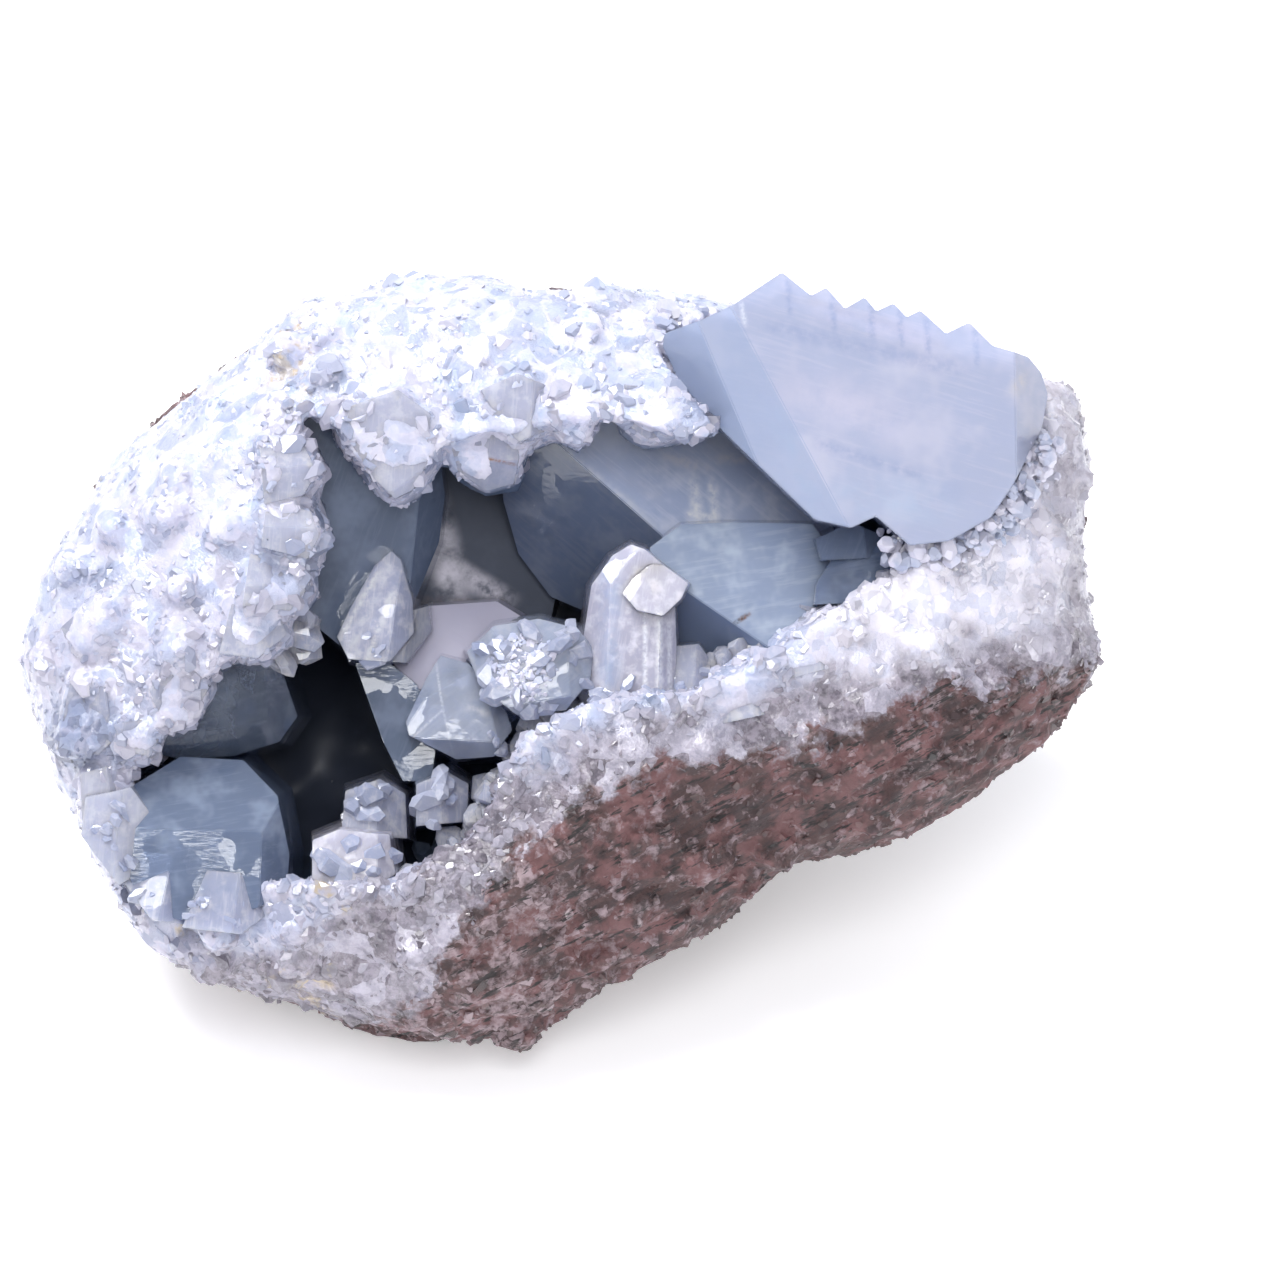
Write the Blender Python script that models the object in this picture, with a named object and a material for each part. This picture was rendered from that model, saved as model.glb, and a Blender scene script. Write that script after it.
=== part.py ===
"""Celestite crystal: a broken geode whose hollow is lined with blue crystals.

The stone is drawn as it is looked at, in millimetres: x to the right, z up,
y away from the eye, with y = 0 halfway through the stone. Only at the end is it
leant back and turned, so that it rests on a small flat spot with its long
side along X.

The stone has three pieces: the wall with the grainy crystals on its rim, the
crust of crystals in its hollow, and the big toothed blade of celestite on the
rim. Every crystal is a convex body cut out of space by its flat faces.
"""

import math
import random
from dataclasses import dataclass
from itertools import combinations

import bmesh
import bpy
import numpy as np
from mathutils import Matrix, Vector, noise

MM = 0.001

# How the stone stands: leant back, turned, and its right end set back.
LEAN_BACK_DEG = 35.0
TURN_DEG = 16.6
SETBACK = 0.15

# Outside of the stone.
CENTRE = (-1.0, 0.0)
HALF_LENGTH, HALF_HEIGHT = 46.0, 33.0
DEPTH_FRONT = 17.0
DEPTH_BACK = 30.0
FULLNESS = 2.4
LUMP_HEIGHT, LUMP_SIZE = 2.0, 13.0
KNOB_HEIGHT, KNOB_SIZE = 1.1, 5.0
GRAIN_HEIGHT = 0.42
GRAIN_SEED = 5
FLAT_SPOT_CUT = 5.0

OUTLINE = [
    (-45.9, -1.7), (-44.3, 6.1), (-40.0, 13.9), (-34.3, 21.7), (-27.0, 26.8), (-20.9, 30.4),
    (-11.3, 31.8), (-1.7, 31.9), (8.7, 31.8), (15.7, 31.0), (24.0, 29.2), (35.1, 26.6),
    (45.0, 22.0), (46.1, 16.5), (46.1, 8.7), (45.5, -2.6), (38.3, -9.1), (29.6, -15.2),
    (20.0, -18.4), (12.2, -24.1), (3.5, -28.3), (-2.6, -32.4), (-11.3, -33.4), (-20.9, -30.9),
    (-31.3, -27.0), (-37.0, -21.3), (-42.2, -13.0), (-45.4, -4.3),
]

# Mouth of the hollow, and how far the hollow spreads or closes with depth.
MOUTH = [
    (-21.7, 21.0), (-22.6, 13.9), (-20.9, 10.0), (-22.2, 5.2), (-25.2, 1.7), (-31.7, -2.6),
    (-35.8, -8.3), (-35.9, -15.0), (-32.9, -19.4), (-23.5, -18.8), (-13.9, -19.1), (-7.0, -14.8),
    (-2.6, -6.5), (3.5, -3.5), (12.2, -2.6), (19.1, 0.9), (24.3, 4.4), (30.4, 8.7), (35.0, 9.6),
    (33.0, 14.5), (24.0, 17.0), (14.5, 19.4), (9.6, 19.5), (3.5, 20.8), (-5.2, 19.6),
    (-10.2, 18.3), (-13.9, 16.5), (-17.8, 19.6),
]
HOLLOW_CENTRE = (-6.0, 4.0)
HOLLOW_RINGS = [
    (-40.0, 1.0), (-11.0, 1.0), (-5.0, 1.08), (2.0, 1.08), (9.0, 0.94), (14.0, 0.72), (17.0, 0.42),
]

# Clearance between pieces, and the crust between the large crystals of the hollow.
GAP = 0.3
LINER = 1.8
LINER_BELOW_RIM = 0.86

# Points nearer than this are one, and faces nearer to flat than this are one.
WELD = 0.004
FLAT_DEG = 0.5
CUTTER_SIZE = 200.0


def unit(vector):
    """The vector at length one."""
    vector = np.asarray(vector, float)
    return vector / np.linalg.norm(vector)


@dataclass(frozen=True)
class Crystal:
    """A crystal drawn by its front face, as (x, z) corners anticlockwise.

    The face lies at depth front and falls back by slope_x and slope_z for each
    millimetre right and up. The sides open out by flare for each millimetre of
    depth. Each bevel is (x1, z1, x2, z2, spread): right of that line the body
    falls away, spread millimetres sideways for each millimetre of depth.
    """

    face: tuple
    front: float
    back: float
    slope_x: float = 0.0
    slope_z: float = 0.0
    flare: float = 0.12
    bevels: tuple = ()

    def depth(self, x, z):
        """Depth of the front face at x, z."""
        centre_x, centre_z = np.mean(self.face, axis=0)
        return self.front + self.slope_x * (x - centre_x) + self.slope_z * (z - centre_z)

    def planes(self):
        """Every face as (outward normal, distance), the body being on the inner side."""
        base = np.array([self.face[0][0], self.depth(*self.face[0]), self.face[0][1]])
        facing = unit((self.slope_x, -1.0, self.slope_z))
        result = [(facing, float(facing @ base)), (np.array((0.0, 1.0, 0.0)), self.back)]
        sides = [(*a, *b, self.flare) for a, b in zip(self.face, self.face[1:] + self.face[:1])]
        for x1, z1, x2, z2, spread in (*sides, *self.bevels):
            start = np.array((x1, self.depth(x1, z1), z1))
            along = np.array((x2, self.depth(x2, z2), z2)) - start
            outward = unit((z2 - z1, 0.0, x1 - x2))
            normal = unit(np.cross(along, outward * spread + np.array((0.0, 1.0, 0.0))))
            if normal @ outward < 0:
                normal = -normal
            result.append((normal, float(normal @ start)))
        return result


# Crystals of the hollow, each from its front face.
BIG_SLATE = Crystal(
    ((-20.6, 2.6), (-18.7, 0.9), (-15.7, 0.9), (-12.7, 4.8), (-10.7, 10.3), (-10.2, 14.4),
     (-11.0, 22.0), (-14.0, 25.0), (-20.0, 25.0), (-25.0, 20.0), (-25.5, 9.0), (-23.5, 5.0)),
    front=-3.0, back=14.0, slope_z=-0.12, bevels=((-13.3, 3.0, -11.9, 16.0, 0.5),))
MILKY_FOOT = Crystal(
    ((-17.7, -0.1), (-14.5, -0.1), (-11.4, 4.3), (-13.0, 5.8), (-14.2, 7.2), (-16.3, 7.5),
     (-17.9, 4.8), (-19.1, 2.2)),
    front=-7.0, back=4.0, slope_z=0.25,
    bevels=((-14.6, -0.5, -13.0, 5.8, 0.8), (-15.0, 7.6, -18.6, 4.6, 1.4)))
SLATE_PLATE = Crystal(
    ((-15.2, -7.0), (-13.5, -10.4), (-11.0, -10.5), (-10.5, -6.0), (-12.3, -2.1), (-14.7, -0.2),
     (-17.6, -0.3)),
    front=-4.0, back=12.0, slope_x=-0.25)
LAVENDER_FACE = Crystal(
    ((-12.1, -3.0), (-7.0, -2.5), (-3.4, 2.0), (-3.4, 3.8), (-5.5, 5.1), (-11.3, 4.7), (-15.0, 0.5)),
    front=-1.0, back=12.0, slope_z=0.55)
PALE_BACK = Crystal(
    ((-12.5, 3.0), (-5.0, 3.0), (-5.2, 6.0), (-8.0, 9.0), (-9.0, 10.9), (-10.8, 10.6), (-12.5, 8.0)),
    front=6.0, back=16.0, slope_z=0.2)
BIG_BLUE = Crystal(
    ((-0.5, 6.0), (4.0, 4.0), (12.0, 3.0), (20.0, 5.0), (24.0, 11.0), (21.0, 20.0), (9.0, 25.0),
     (-3.0, 24.0), (-5.0, 19.0), (-4.6, 14.0), (-3.2, 9.5)),
    front=-2.0, back=14.0, slope_x=0.22, slope_z=0.25,
    bevels=((-0.8, 19.3, 8.9, 10.8, 1.25), (-2.0, 15.0, 3.0, 4.5, 0.55)))
BIG_BLUE_FOOT = Crystal(
    ((8.0, 0.0), (12.2, -1.8), (18.3, 0.2), (22.3, 3.3), (23.9, 8.7), (23.3, 9.8), (21.9, 11.8),
     (14.5, 11.9), (10.5, 11.7), (7.8, 9.7)),
    front=-8.0, back=8.0, slope_x=0.08, slope_z=0.18, bevels=((9.0, 7.3, 16.0, 2.5, 0.9),))
BRIGHT_TOP = Crystal(
    ((5.0, 3.0), (9.0, 3.4), (10.9, 5.3), (11.2, 6.6), (9.3, 8.3), (7.8, 9.8), (6.5, 10.1), (4.4, 8.8),
     (3.0, 6.4), (2.9, 4.1)),
    front=-12.0, back=0.0, slope_z=0.4, bevels=((7.2, 8.6, 5.3, 5.2, 1.6), (9.6, 7.6, 6.6, 8.3, 1.3)))
GLASSY_STUMP = Crystal(
    ((2.8, -4.0), (9.8, -4.0), (10.0, 0.5), (9.5, 4.2), (3.0, 4.4), (2.2, 1.7)),
    front=-12.6, back=2.0, slope_x=0.05, bevels=((8.0, -4.0, 8.0, 4.4, 0.9), (4.0, 4.4, 4.0, -4.0, 0.9)))
FROSTED_KNOB = Crystal(
    ((-7.7, 0.7), (-6.6, -2.2), (-3.6, -4.6), (0.6, -4.2), (2.6, -1.8), (2.9, 0.9), (1.6, 2.7), (-1.7, 3.5),
     (-5.5, 2.9)),
    front=-13.0, back=-1.0, slope_z=0.15,
    bevels=((-4.5, -4.0, 1.0, -3.0, 1.3), (1.0, -2.5, 0.6, 2.4, 1.3), (0.4, 1.6, -5.4, 1.4, 1.4),
            (-4.9, 2.0, -5.2, -3.0, 1.2)))
GLASSY_KNOT = Crystal(
    ((-13.0, -3.4), (-12.6, -6.6), (-10.6, -9.0), (-7.0, -9.3), (-4.4, -7.0), (-4.3, -3.4), (-7.4, -0.4),
     (-10.4, -0.1)),
    front=-9.0, back=6.0, slope_z=0.2,
    bevels=((-11.4, -8.0, -5.4, -7.6, 1.1), (-8.6, -0.8, -11.8, -4.2, 1.2), (-11.6, -3.0, -11.0, -8.0, 1.0)))
SMOKY_TOOTH = Crystal(
    ((-34.3, -7.9), (-32.2, -8.4), (-27.8, -8.1), (-23.9, -6.9), (-22.5, -4.8), (-23.7, -0.9), (-25.9, 0.9),
     (-29.6, 0.9), (-32.5, -3.5)),
    front=-9.0, back=7.0, slope_z=-0.1,
    bevels=((-33.0, -6.4, -23.0, -5.0, 1.3), (-24.8, -6.5, -25.0, 0.5, 1.2)))
LOW_BLUE = Crystal(
    ((-35.0, -21.5), (-29.0, -22.5), (-23.3, -20.0), (-23.1, -16.5), (-24.0, -11.6), (-27.0, -8.7),
     (-32.2, -8.4), (-36.4, -10.9), (-37.4, -16.0)),
    front=-12.0, back=4.0, bevels=((-23.0, -14.6, -36.0, -14.2, 1.7), (-25.4, -20.0, -25.0, -10.0, 0.9)))
FLOOR_BLOCK = Crystal(
    ((-20.9, -18.6), (-16.5, -19.8), (-14.0, -18.2), (-14.5, -14.9), (-18.7, -14.4), (-20.9, -15.3)),
    front=-12.5, back=2.0, slope_z=0.3, bevels=((-15.4, -19.5, -15.4, -14.6, 0.9),))
FLOOR_GREY = Crystal(
    ((-18.6, -15.0), (-13.2, -15.2), (-13.4, -11.6), (-15.4, -10.2), (-18.3, -11.2)),
    front=-7.5, back=5.0, slope_z=0.35, bevels=((-15.6, -15.2, -15.8, -10.0, 0.9),))
FLOOR_PLATE = Crystal(
    ((-12.2, -14.2), (-8.0, -13.8), (-7.9, -10.7), (-9.6, -9.6), (-12.2, -10.6)),
    front=-9.0, back=5.0, slope_z=0.45, slope_x=-0.2)
RIGHT_GREY = Crystal(
    ((22.0, 4.8), (25.2, 4.9), (27.6, 6.2), (31.0, 9.3), (26.1, 10.0), (23.7, 9.0), (22.2, 6.6)),
    front=-10.0, back=4.0, slope_z=0.2, bevels=((29.0, 9.6, 23.6, 8.0, 1.4),))
CORNER_STUB = Crystal(
    ((9.9, -3.2), (12.8, -3.4), (13.2, -0.4), (12.0, 1.4), (9.9, 1.2)),
    front=-10.6, back=0.0, slope_z=0.3, bevels=((11.6, -3.2, 11.8, 1.2, 0.8),))

HOLLOW_CRYSTALS = (
    BIG_SLATE, MILKY_FOOT, SLATE_PLATE, LAVENDER_FACE, PALE_BACK, BIG_BLUE, BIG_BLUE_FOOT, BRIGHT_TOP,
    GLASSY_STUMP, FROSTED_KNOB, GLASSY_KNOT, SMOKY_TOOTH, LOW_BLUE, FLOOR_BLOCK, FLOOR_GREY, FLOOR_PLATE,
    RIGHT_GREY, CORNER_STUB)

# Crystals that hang over the edge of the mouth. They belong to the wall.
RIM_CRYSTALS = (
    Crystal(((-15.6, 15.4), (-13.9, 13.8), (-12.4, 14.6), (-10.9, 17.2), (-10.9, 21.0), (-13.6, 23.0),
             (-17.6, 21.6), (-18.2, 19.4)),
            front=-13.5, back=-5.0, slope_z=-0.2, bevels=((-14.6, 14.0, -11.4, 16.4, 1.1),)),
    Crystal(((-8.6, 16.2), (-6.3, 14.6), (-3.9, 15.2), (-3.4, 17.4), (-3.9, 21.0), (-9.2, 21.4),
             (-9.4, 19.0)),
            front=-10.0, back=-3.0, slope_z=-0.3, bevels=((-8.6, 16.9, -3.6, 17.1, 1.2),)),
    Crystal(((-4.8, 20.0), (-3.3, 18.6), (-1.0, 19.7), (0.4, 20.6), (-1.0, 23.4), (-3.5, 24.4),
             (-6.6, 23.0)),
            front=-14.2, back=-5.0, slope_z=-0.15, bevels=((-2.4, 18.8, -2.2, 24.0, 0.8),)),
    Crystal(((0.2, 19.6), (1.5, 18.7), (2.6, 20.0), (3.0, 23.0), (0.4, 23.0)),
            front=-12.4, back=-5.0, slope_z=-0.3),
    Crystal(((5.8, 20.2), (7.6, 19.0), (9.8, 19.4), (10.6, 23.0), (5.6, 23.6)),
            front=-12.4, back=-4.0, slope_z=-0.3, bevels=((7.8, 19.0, 8.4, 23.0, 0.9),)),
    Crystal(((-24.8, 13.2), (-21.6, 14.0), (-20.4, 16.0), (-21.6, 18.2), (-25.2, 18.6)),
            front=-15.0, back=-6.0, slope_x=0.35, bevels=((-21.0, 16.6, -25.0, 16.2, 1.5),)),
    Crystal(((-25.0, 9.6), (-21.2, 8.6), (-20.2, 10.6), (-21.0, 12.6), (-24.6, 13.4)),
            front=-15.6, back=-6.0, slope_x=0.35, bevels=((-20.4, 11.2, -25.0, 11.4, 1.4),)),
    Crystal(((-26.6, 4.6), (-22.6, 4.2), (-21.4, 5.9), (-22.0, 8.0), (-26.0, 9.0)),
            front=-15.4, back=-6.0, slope_x=0.3, bevels=((-21.4, 6.6, -26.0, 6.4, 1.3),)),
    Crystal(((-28.6, 0.6), (-25.4, 0.2), (-23.0, 2.2), (-23.8, 4.4), (-27.6, 4.8)),
            front=-14.6, back=-6.0, slope_x=0.25, slope_z=0.2),
    Crystal(((-36.8, -7.6), (-34.6, -8.2), (-33.6, -6.2), (-35.2, -5.0), (-37.6, -5.4)),
            front=-12.6, back=-4.0, slope_x=0.2),
    Crystal(((-33.4, -5.6), (-31.2, -5.4), (-29.6, -2.2), (-31.8, -0.6), (-34.6, -2.4)),
            front=-12.8, back=-4.0, slope_x=0.3, slope_z=-0.2),
    Crystal(((-40.4, -13.8), (-37.2, -14.2), (-36.2, -11.6), (-37.6, -8.8), (-40.6, -9.6)),
            front=-10.6, back=-2.0, slope_x=-0.3, bevels=((-37.6, -14.0, -38.4, -9.0, 1.0),)),
    Crystal(((-42.6, -7.6), (-39.0, -8.0), (-36.4, -5.6), (-37.4, -2.4), (-41.4, -1.8)),
            front=-11.0, back=-2.0, slope_x=-0.35, bevels=((-37.6, -8.0, -38.6, -1.8, 1.0),)),
    Crystal(((14.0, -5.4), (17.6, -4.6), (19.2, -1.4), (16.4, 0.4), (13.4, -1.6)),
            front=-15.4, back=-7.0, slope_z=0.35, bevels=((16.8, -5.0, 15.8, 0.4, 1.0),)),
    Crystal(((19.6, -1.6), (23.4, -0.6), (25.4, 2.6), (22.6, 4.0), (19.2, 1.2)),
            front=-14.8, back=-7.0, slope_z=0.35, bevels=((22.6, -1.0, 21.6, 4.0, 1.0),)),
    Crystal(((27.4, 3.6), (31.4, 4.4), (33.6, 7.6), (30.8, 8.8), (27.2, 6.0)),
            front=-13.0, back=-6.0, slope_z=0.35, bevels=((30.6, 4.0, 29.8, 8.8, 1.0),)),
)

# Small blocky crystals sown over the front of the wall and in the hollow, seeded.
SOWN_COUNT = 72
SOWN_SIZE = (1.1, 2.3)
SOWN_SEED = 11
SOWN_SUNK = 0.35
SOWN_FRONT_OF = -4.0
SOWN_CLEAR_OF_MOUTH = 3.4
SOWN_CLEAR_OF_BLADE = 4.0
LINING_COUNT = 34
LINING_SIZE = (1.6, 3.0)
LINING_SEED = 23
LINING_FROM = -5.0
LINING_LIFT = 1.0
LINING_FACING = 4.0

# Blade of celestite at the upper right of the mouth, with its teeth of parallel growth.
BLADE_FACE = [
    (8.9, 27.0), (10.4, 23.9), (14.3, 19.4), (21.9, 12.0), (25.0, 11.3), (27.1, 12.3), (30.0, 9.8),
    (33.4, 10.2), (37.0, 12.2), (38.8, 14.8), (41.6, 20.0), (42.2, 22.9), (41.6, 24.8), (40.4, 26.1),
    (37.2, 27.0), (35.2, 29.0), (33.2, 28.0), (31.0, 30.0), (29.8, 29.4), (28.7, 30.6), (27.2, 29.9),
    (26.2, 31.1), (24.5, 30.1), (22.9, 31.9), (21.6, 31.2), (19.1, 33.2), (14.8, 30.3), (12.2, 29.1),
    (9.1, 28.1),
]
BLADE_FRONT, BLADE_BACK = -15.5, -3.5
BLADE_SLOPE = (0.02, 0.12)
BLADE_WIDENING = 1.6
BLADE_FACETS = (
    (14.6, 31.0, 15.6, 17.0, 0.95),
    (14.8, 20.6, 22.5, 9.6, 1.4),
    (21.4, 33.4, 9.5, 29.6, 0.9),
    (40.5, 8.0, 38.6, 28.0, 0.7),
)


def new_object(name, mesh):
    """Put a mesh in the scene as an object."""
    thing = bpy.data.objects.new(name, mesh)
    bpy.context.scene.collection.objects.link(thing)
    return thing


def mesh_from(name, form):
    """Turn a bmesh into a mesh with outward faces."""
    bmesh.ops.recalc_face_normals(form, faces=form.faces)
    mesh = bpy.data.meshes.new(name)
    form.to_mesh(mesh)
    form.free()
    return mesh


def convex_corners(planes):
    """Corners of the convex body bounded by (outward normal, distance) planes."""
    normals = np.array([normal for normal, _ in planes])
    distances = np.array([distance for _, distance in planes])
    triples = np.array(list(combinations(range(len(planes)), 3)))
    systems = normals[triples]
    solvable = np.abs(np.linalg.det(systems)) > 1e-4
    points = np.linalg.solve(systems[solvable], distances[triples[solvable]][..., None])[..., 0]
    inside = (points @ normals.T <= distances + 1e-5).all(axis=1)
    corners = []
    for point in points[inside]:
        if all(np.linalg.norm(point - other) > 0.02 for other in corners):
            corners.append(point)
    return corners


def convex_solid(name, planes, grow=0.0):
    """Object of the convex body bounded by the planes, each moved out by grow."""
    form = bmesh.new()
    for corner in convex_corners([(normal, distance + grow) for normal, distance in planes]):
        form.verts.new(corner)
    bmesh.ops.convex_hull(form, input=form.verts)
    bmesh.ops.dissolve_limit(form, angle_limit=math.radians(FLAT_DEG), verts=form.verts, edges=form.edges)
    return new_object(name, mesh_from(name, form))


def apply_boolean(target, operation, tool):
    """Cut, join or intersect target with tool, and take the tool away."""
    modifier = target.modifiers.new(operation.lower(), "BOOLEAN")
    modifier.operation = operation
    modifier.object = tool
    bpy.context.view_layer.update()
    depsgraph = bpy.context.evaluated_depsgraph_get()
    result = bpy.data.meshes.new_from_object(target.evaluated_get(depsgraph))
    target.modifiers.clear()
    target.data = result
    bpy.data.objects.remove(tool)
    form = bmesh.new()
    form.from_mesh(result)
    bmesh.ops.remove_doubles(form, verts=form.verts, dist=WELD)
    form.to_mesh(result)
    form.free()


def keep_main_body(thing):
    """Drop sealed pockets and loose chips, so that one closed body is left."""
    form = bmesh.new()
    form.from_mesh(thing.data)
    unseen = set(form.verts)
    bodies = []
    while unseen:
        body, front = set(), [unseen.pop()]
        while front:
            vert = front.pop()
            body.add(vert)
            for edge in vert.link_edges:
                other = edge.other_vert(vert)
                if other in unseen:
                    unseen.remove(other)
                    front.append(other)
        bodies.append(body)
    bodies.sort(key=len)
    for body in bodies[:-1]:
        bmesh.ops.delete(form, geom=list(body), context="VERTS")
    form.to_mesh(thing.data)
    form.free()


def smooth_loop(points, steps):
    """Points of a closed Catmull-Rom curve through the given points."""
    loop = np.array(points, float)
    before, after, beyond = (np.roll(loop, -places, axis=0) for places in (-1, 1, 2))
    slope, bend = after - before, 2 * before - 5 * loop + 4 * after - beyond
    twist = 3 * loop - before - 3 * after + beyond
    shares = [step / steps for step in range(steps)]
    parts = [loop + (slope * t + bend * t**2 + twist * t**3) / 2 for t in shares]
    return np.stack(parts, axis=1).reshape(-1, 2)


def outline_radius():
    """Function from an angle in the face plane to the stone's radius there."""
    around = smooth_loop(OUTLINE, 6) - np.array(CENTRE)
    angles = np.arctan2(around[:, 1], around[:, 0])
    order = np.argsort(angles)
    angles, radii = angles[order], np.hypot(*around.T)[order]
    return lambda angle: float(np.interp(angle, angles, radii, period=2 * math.pi))


def stone_point(direction, radius_at):
    """Point of the stone's smooth outside in a direction from its centre."""
    angle = math.atan2(direction.z, direction.x)
    level = math.asin(max(-1.0, min(1.0, direction.y)))
    across = abs(math.cos(level)) ** (2 / FULLNESS) * radius_at(angle)
    depth = math.copysign(abs(math.sin(level)) ** (2 / FULLNESS), level)
    depth *= DEPTH_BACK if level > 0 else DEPTH_FRONT
    return Vector((CENTRE[0] + across * math.cos(angle), depth, CENTRE[1] + across * math.sin(angle)))


def outward_at(point):
    """Direction out of the stone at a point of its outside."""
    depth = DEPTH_BACK if point.y > 0 else DEPTH_FRONT
    return Vector((point.x / HALF_LENGTH**2, point.y / depth**2, point.z / HALF_HEIGHT**2)).normalized()


def stone_body(name, radius_at):
    """Outside of the stone as a faceted, lumpy closed body."""
    seeded = random.Random(GRAIN_SEED)
    form = bmesh.new()
    bmesh.ops.create_icosphere(form, subdivisions=4, radius=1.0)
    for vert in form.verts:
        point = stone_point(vert.co.normalized(), radius_at)
        lump = noise.noise(point / LUMP_SIZE) * LUMP_HEIGHT
        knob = noise.noise(point / KNOB_SIZE + Vector((7.3, 1.1, 4.9))) * KNOB_HEIGHT
        grain = seeded.uniform(-GRAIN_HEIGHT, GRAIN_HEIGHT)
        vert.co = point + outward_at(point) * (lump + knob + grain)
    return new_object(name, mesh_from(name, form))


def hollow_body(name, inset=0.0):
    """The hollow and the mouth's opening as one closed loft, drawn in by inset."""
    centre = np.array(HOLLOW_CENTRE)
    around = np.array(MOUTH) - centre
    reach = np.hypot(*around.T)[:, None]
    form = bmesh.new()
    rings = []
    for depth, spread in HOLLOW_RINGS:
        ring = centre + around * (spread * reach - inset) / reach
        rings.append([form.verts.new((x, depth - inset * (depth > 0), z)) for x, z in ring])
    for near, far in zip(rings, rings[1:]):
        for index in range(len(near)):
            after = (index + 1) % len(near)
            form.faces.new((near[index], near[after], far[after], far[index]))
    form.faces.new(rings[0])
    form.faces.new(rings[-1])
    bmesh.ops.triangulate(form, faces=form.faces)
    return new_object(name, mesh_from(name, form))


def front_point(x, z, radius_at):
    """Point of the stone's smooth front at x, z, or None outside its outline."""
    right, up = x - CENTRE[0], z - CENTRE[1]
    share = math.hypot(right, up) / radius_at(math.atan2(up, right))
    if share >= 1:
        return None
    return Vector((x, -DEPTH_FRONT * (1 - share**FULLNESS) ** (1 / FULLNESS), z))


def sown_crystals(radius_at):
    """Planes of small blocky crystals standing on the front of the wall."""
    seeded = random.Random(SOWN_SEED)
    mouth, blade = smooth_loop(MOUTH, 3), np.array(BLADE_FACE)
    crystals = []
    while len(crystals) < SOWN_COUNT:
        x, z = seeded.uniform(-HALF_LENGTH, HALF_LENGTH), seeded.uniform(-HALF_HEIGHT, HALF_HEIGHT)
        point, spot = front_point(x, z, radius_at), np.array((x, z))
        if point is None or point.y > SOWN_FRONT_OF:
            continue
        if inside_loop(spot, mouth) or np.hypot(*(mouth - spot).T).min() < SOWN_CLEAR_OF_MOUTH:
            continue
        if inside_loop(spot, blade) or np.hypot(*(blade - spot).T).min() < SOWN_CLEAR_OF_BLADE:
            continue
        size = seeded.uniform(*SOWN_SIZE)
        outward = outward_at(point)
        crystals.append(blocky_crystal(point - outward * size * SOWN_SUNK, outward, size, seeded))
    return crystals


def lining_crystals():
    """Planes of blocky crystals that line the hollow between the large ones."""
    seeded = random.Random(LINING_SEED)
    centre = np.array(HOLLOW_CENTRE)
    around = smooth_loop(MOUTH, 3) - centre
    deep = [ring for ring in HOLLOW_RINGS if ring[0] >= LINING_FROM]
    depths, spreads = zip(*deep)
    crystals = []
    for _ in range(LINING_COUNT):
        depth = seeded.uniform(depths[0], depths[-1])
        x, z = centre + around[seeded.randrange(len(around))] * np.interp(depth, depths, spreads)
        inward = Vector((centre[0] - x, -LINING_FACING, centre[1] - z)).normalized()
        place = Vector((x, depth, z)) + inward * LINING_LIFT
        crystals.append(blocky_crystal(place, inward, seeded.uniform(*LINING_SIZE), seeded))
    return crystals


def inside_loop(spot, loop):
    """Whether a spot lies inside a closed loop of points in the face plane."""
    ends = np.roll(loop, -1, axis=0)
    crossing = (loop[:, 1] > spot[1]) != (ends[:, 1] > spot[1])
    rise = np.where(crossing, ends[:, 1] - loop[:, 1], 1.0)
    crossed_at = loop[:, 0] + (spot[1] - loop[:, 1]) / rise * (ends[:, 0] - loop[:, 0])
    return bool(np.count_nonzero(crossing & (crossed_at > spot[0])) % 2)


def blocky_crystal(point, outward, size, seeded):
    """Planes of one celestite block: the c, m, d and o faces of its orthorhombic form."""
    a_axis = (outward + Vector([seeded.uniform(-0.6, 0.6) for _ in range(3)])).normalized()
    c_axis = a_axis.cross(Vector([seeded.uniform(-1, 1) for _ in range(3)])).normalized()
    b_axis = c_axis.cross(a_axis)
    frame = np.array((a_axis, b_axis, c_axis)).T
    prism, dome, side_dome = math.radians(37.9), math.radians(39.4), math.radians(52.0)
    forms = [((0, 0, 1), 0.75)]
    forms += [((math.cos(prism), sign * math.sin(prism), 0), 1.0) for sign in (1, -1)]
    forms += [((math.sin(dome), 0, sign * math.cos(dome)), 0.95) for sign in (1, -1)]
    forms += [((0, sign * math.sin(side_dome), math.cos(side_dome)), 0.9) for sign in (1, -1)]
    planes = []
    for direction, distance in forms:
        for side in (1, -1):
            normal = unit(frame @ (side * np.array(direction, float)))
            reach = size * distance * seeded.uniform(0.85, 1.15)
            planes.append((normal, float(normal @ np.array(point)) + reach))
    return planes


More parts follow.
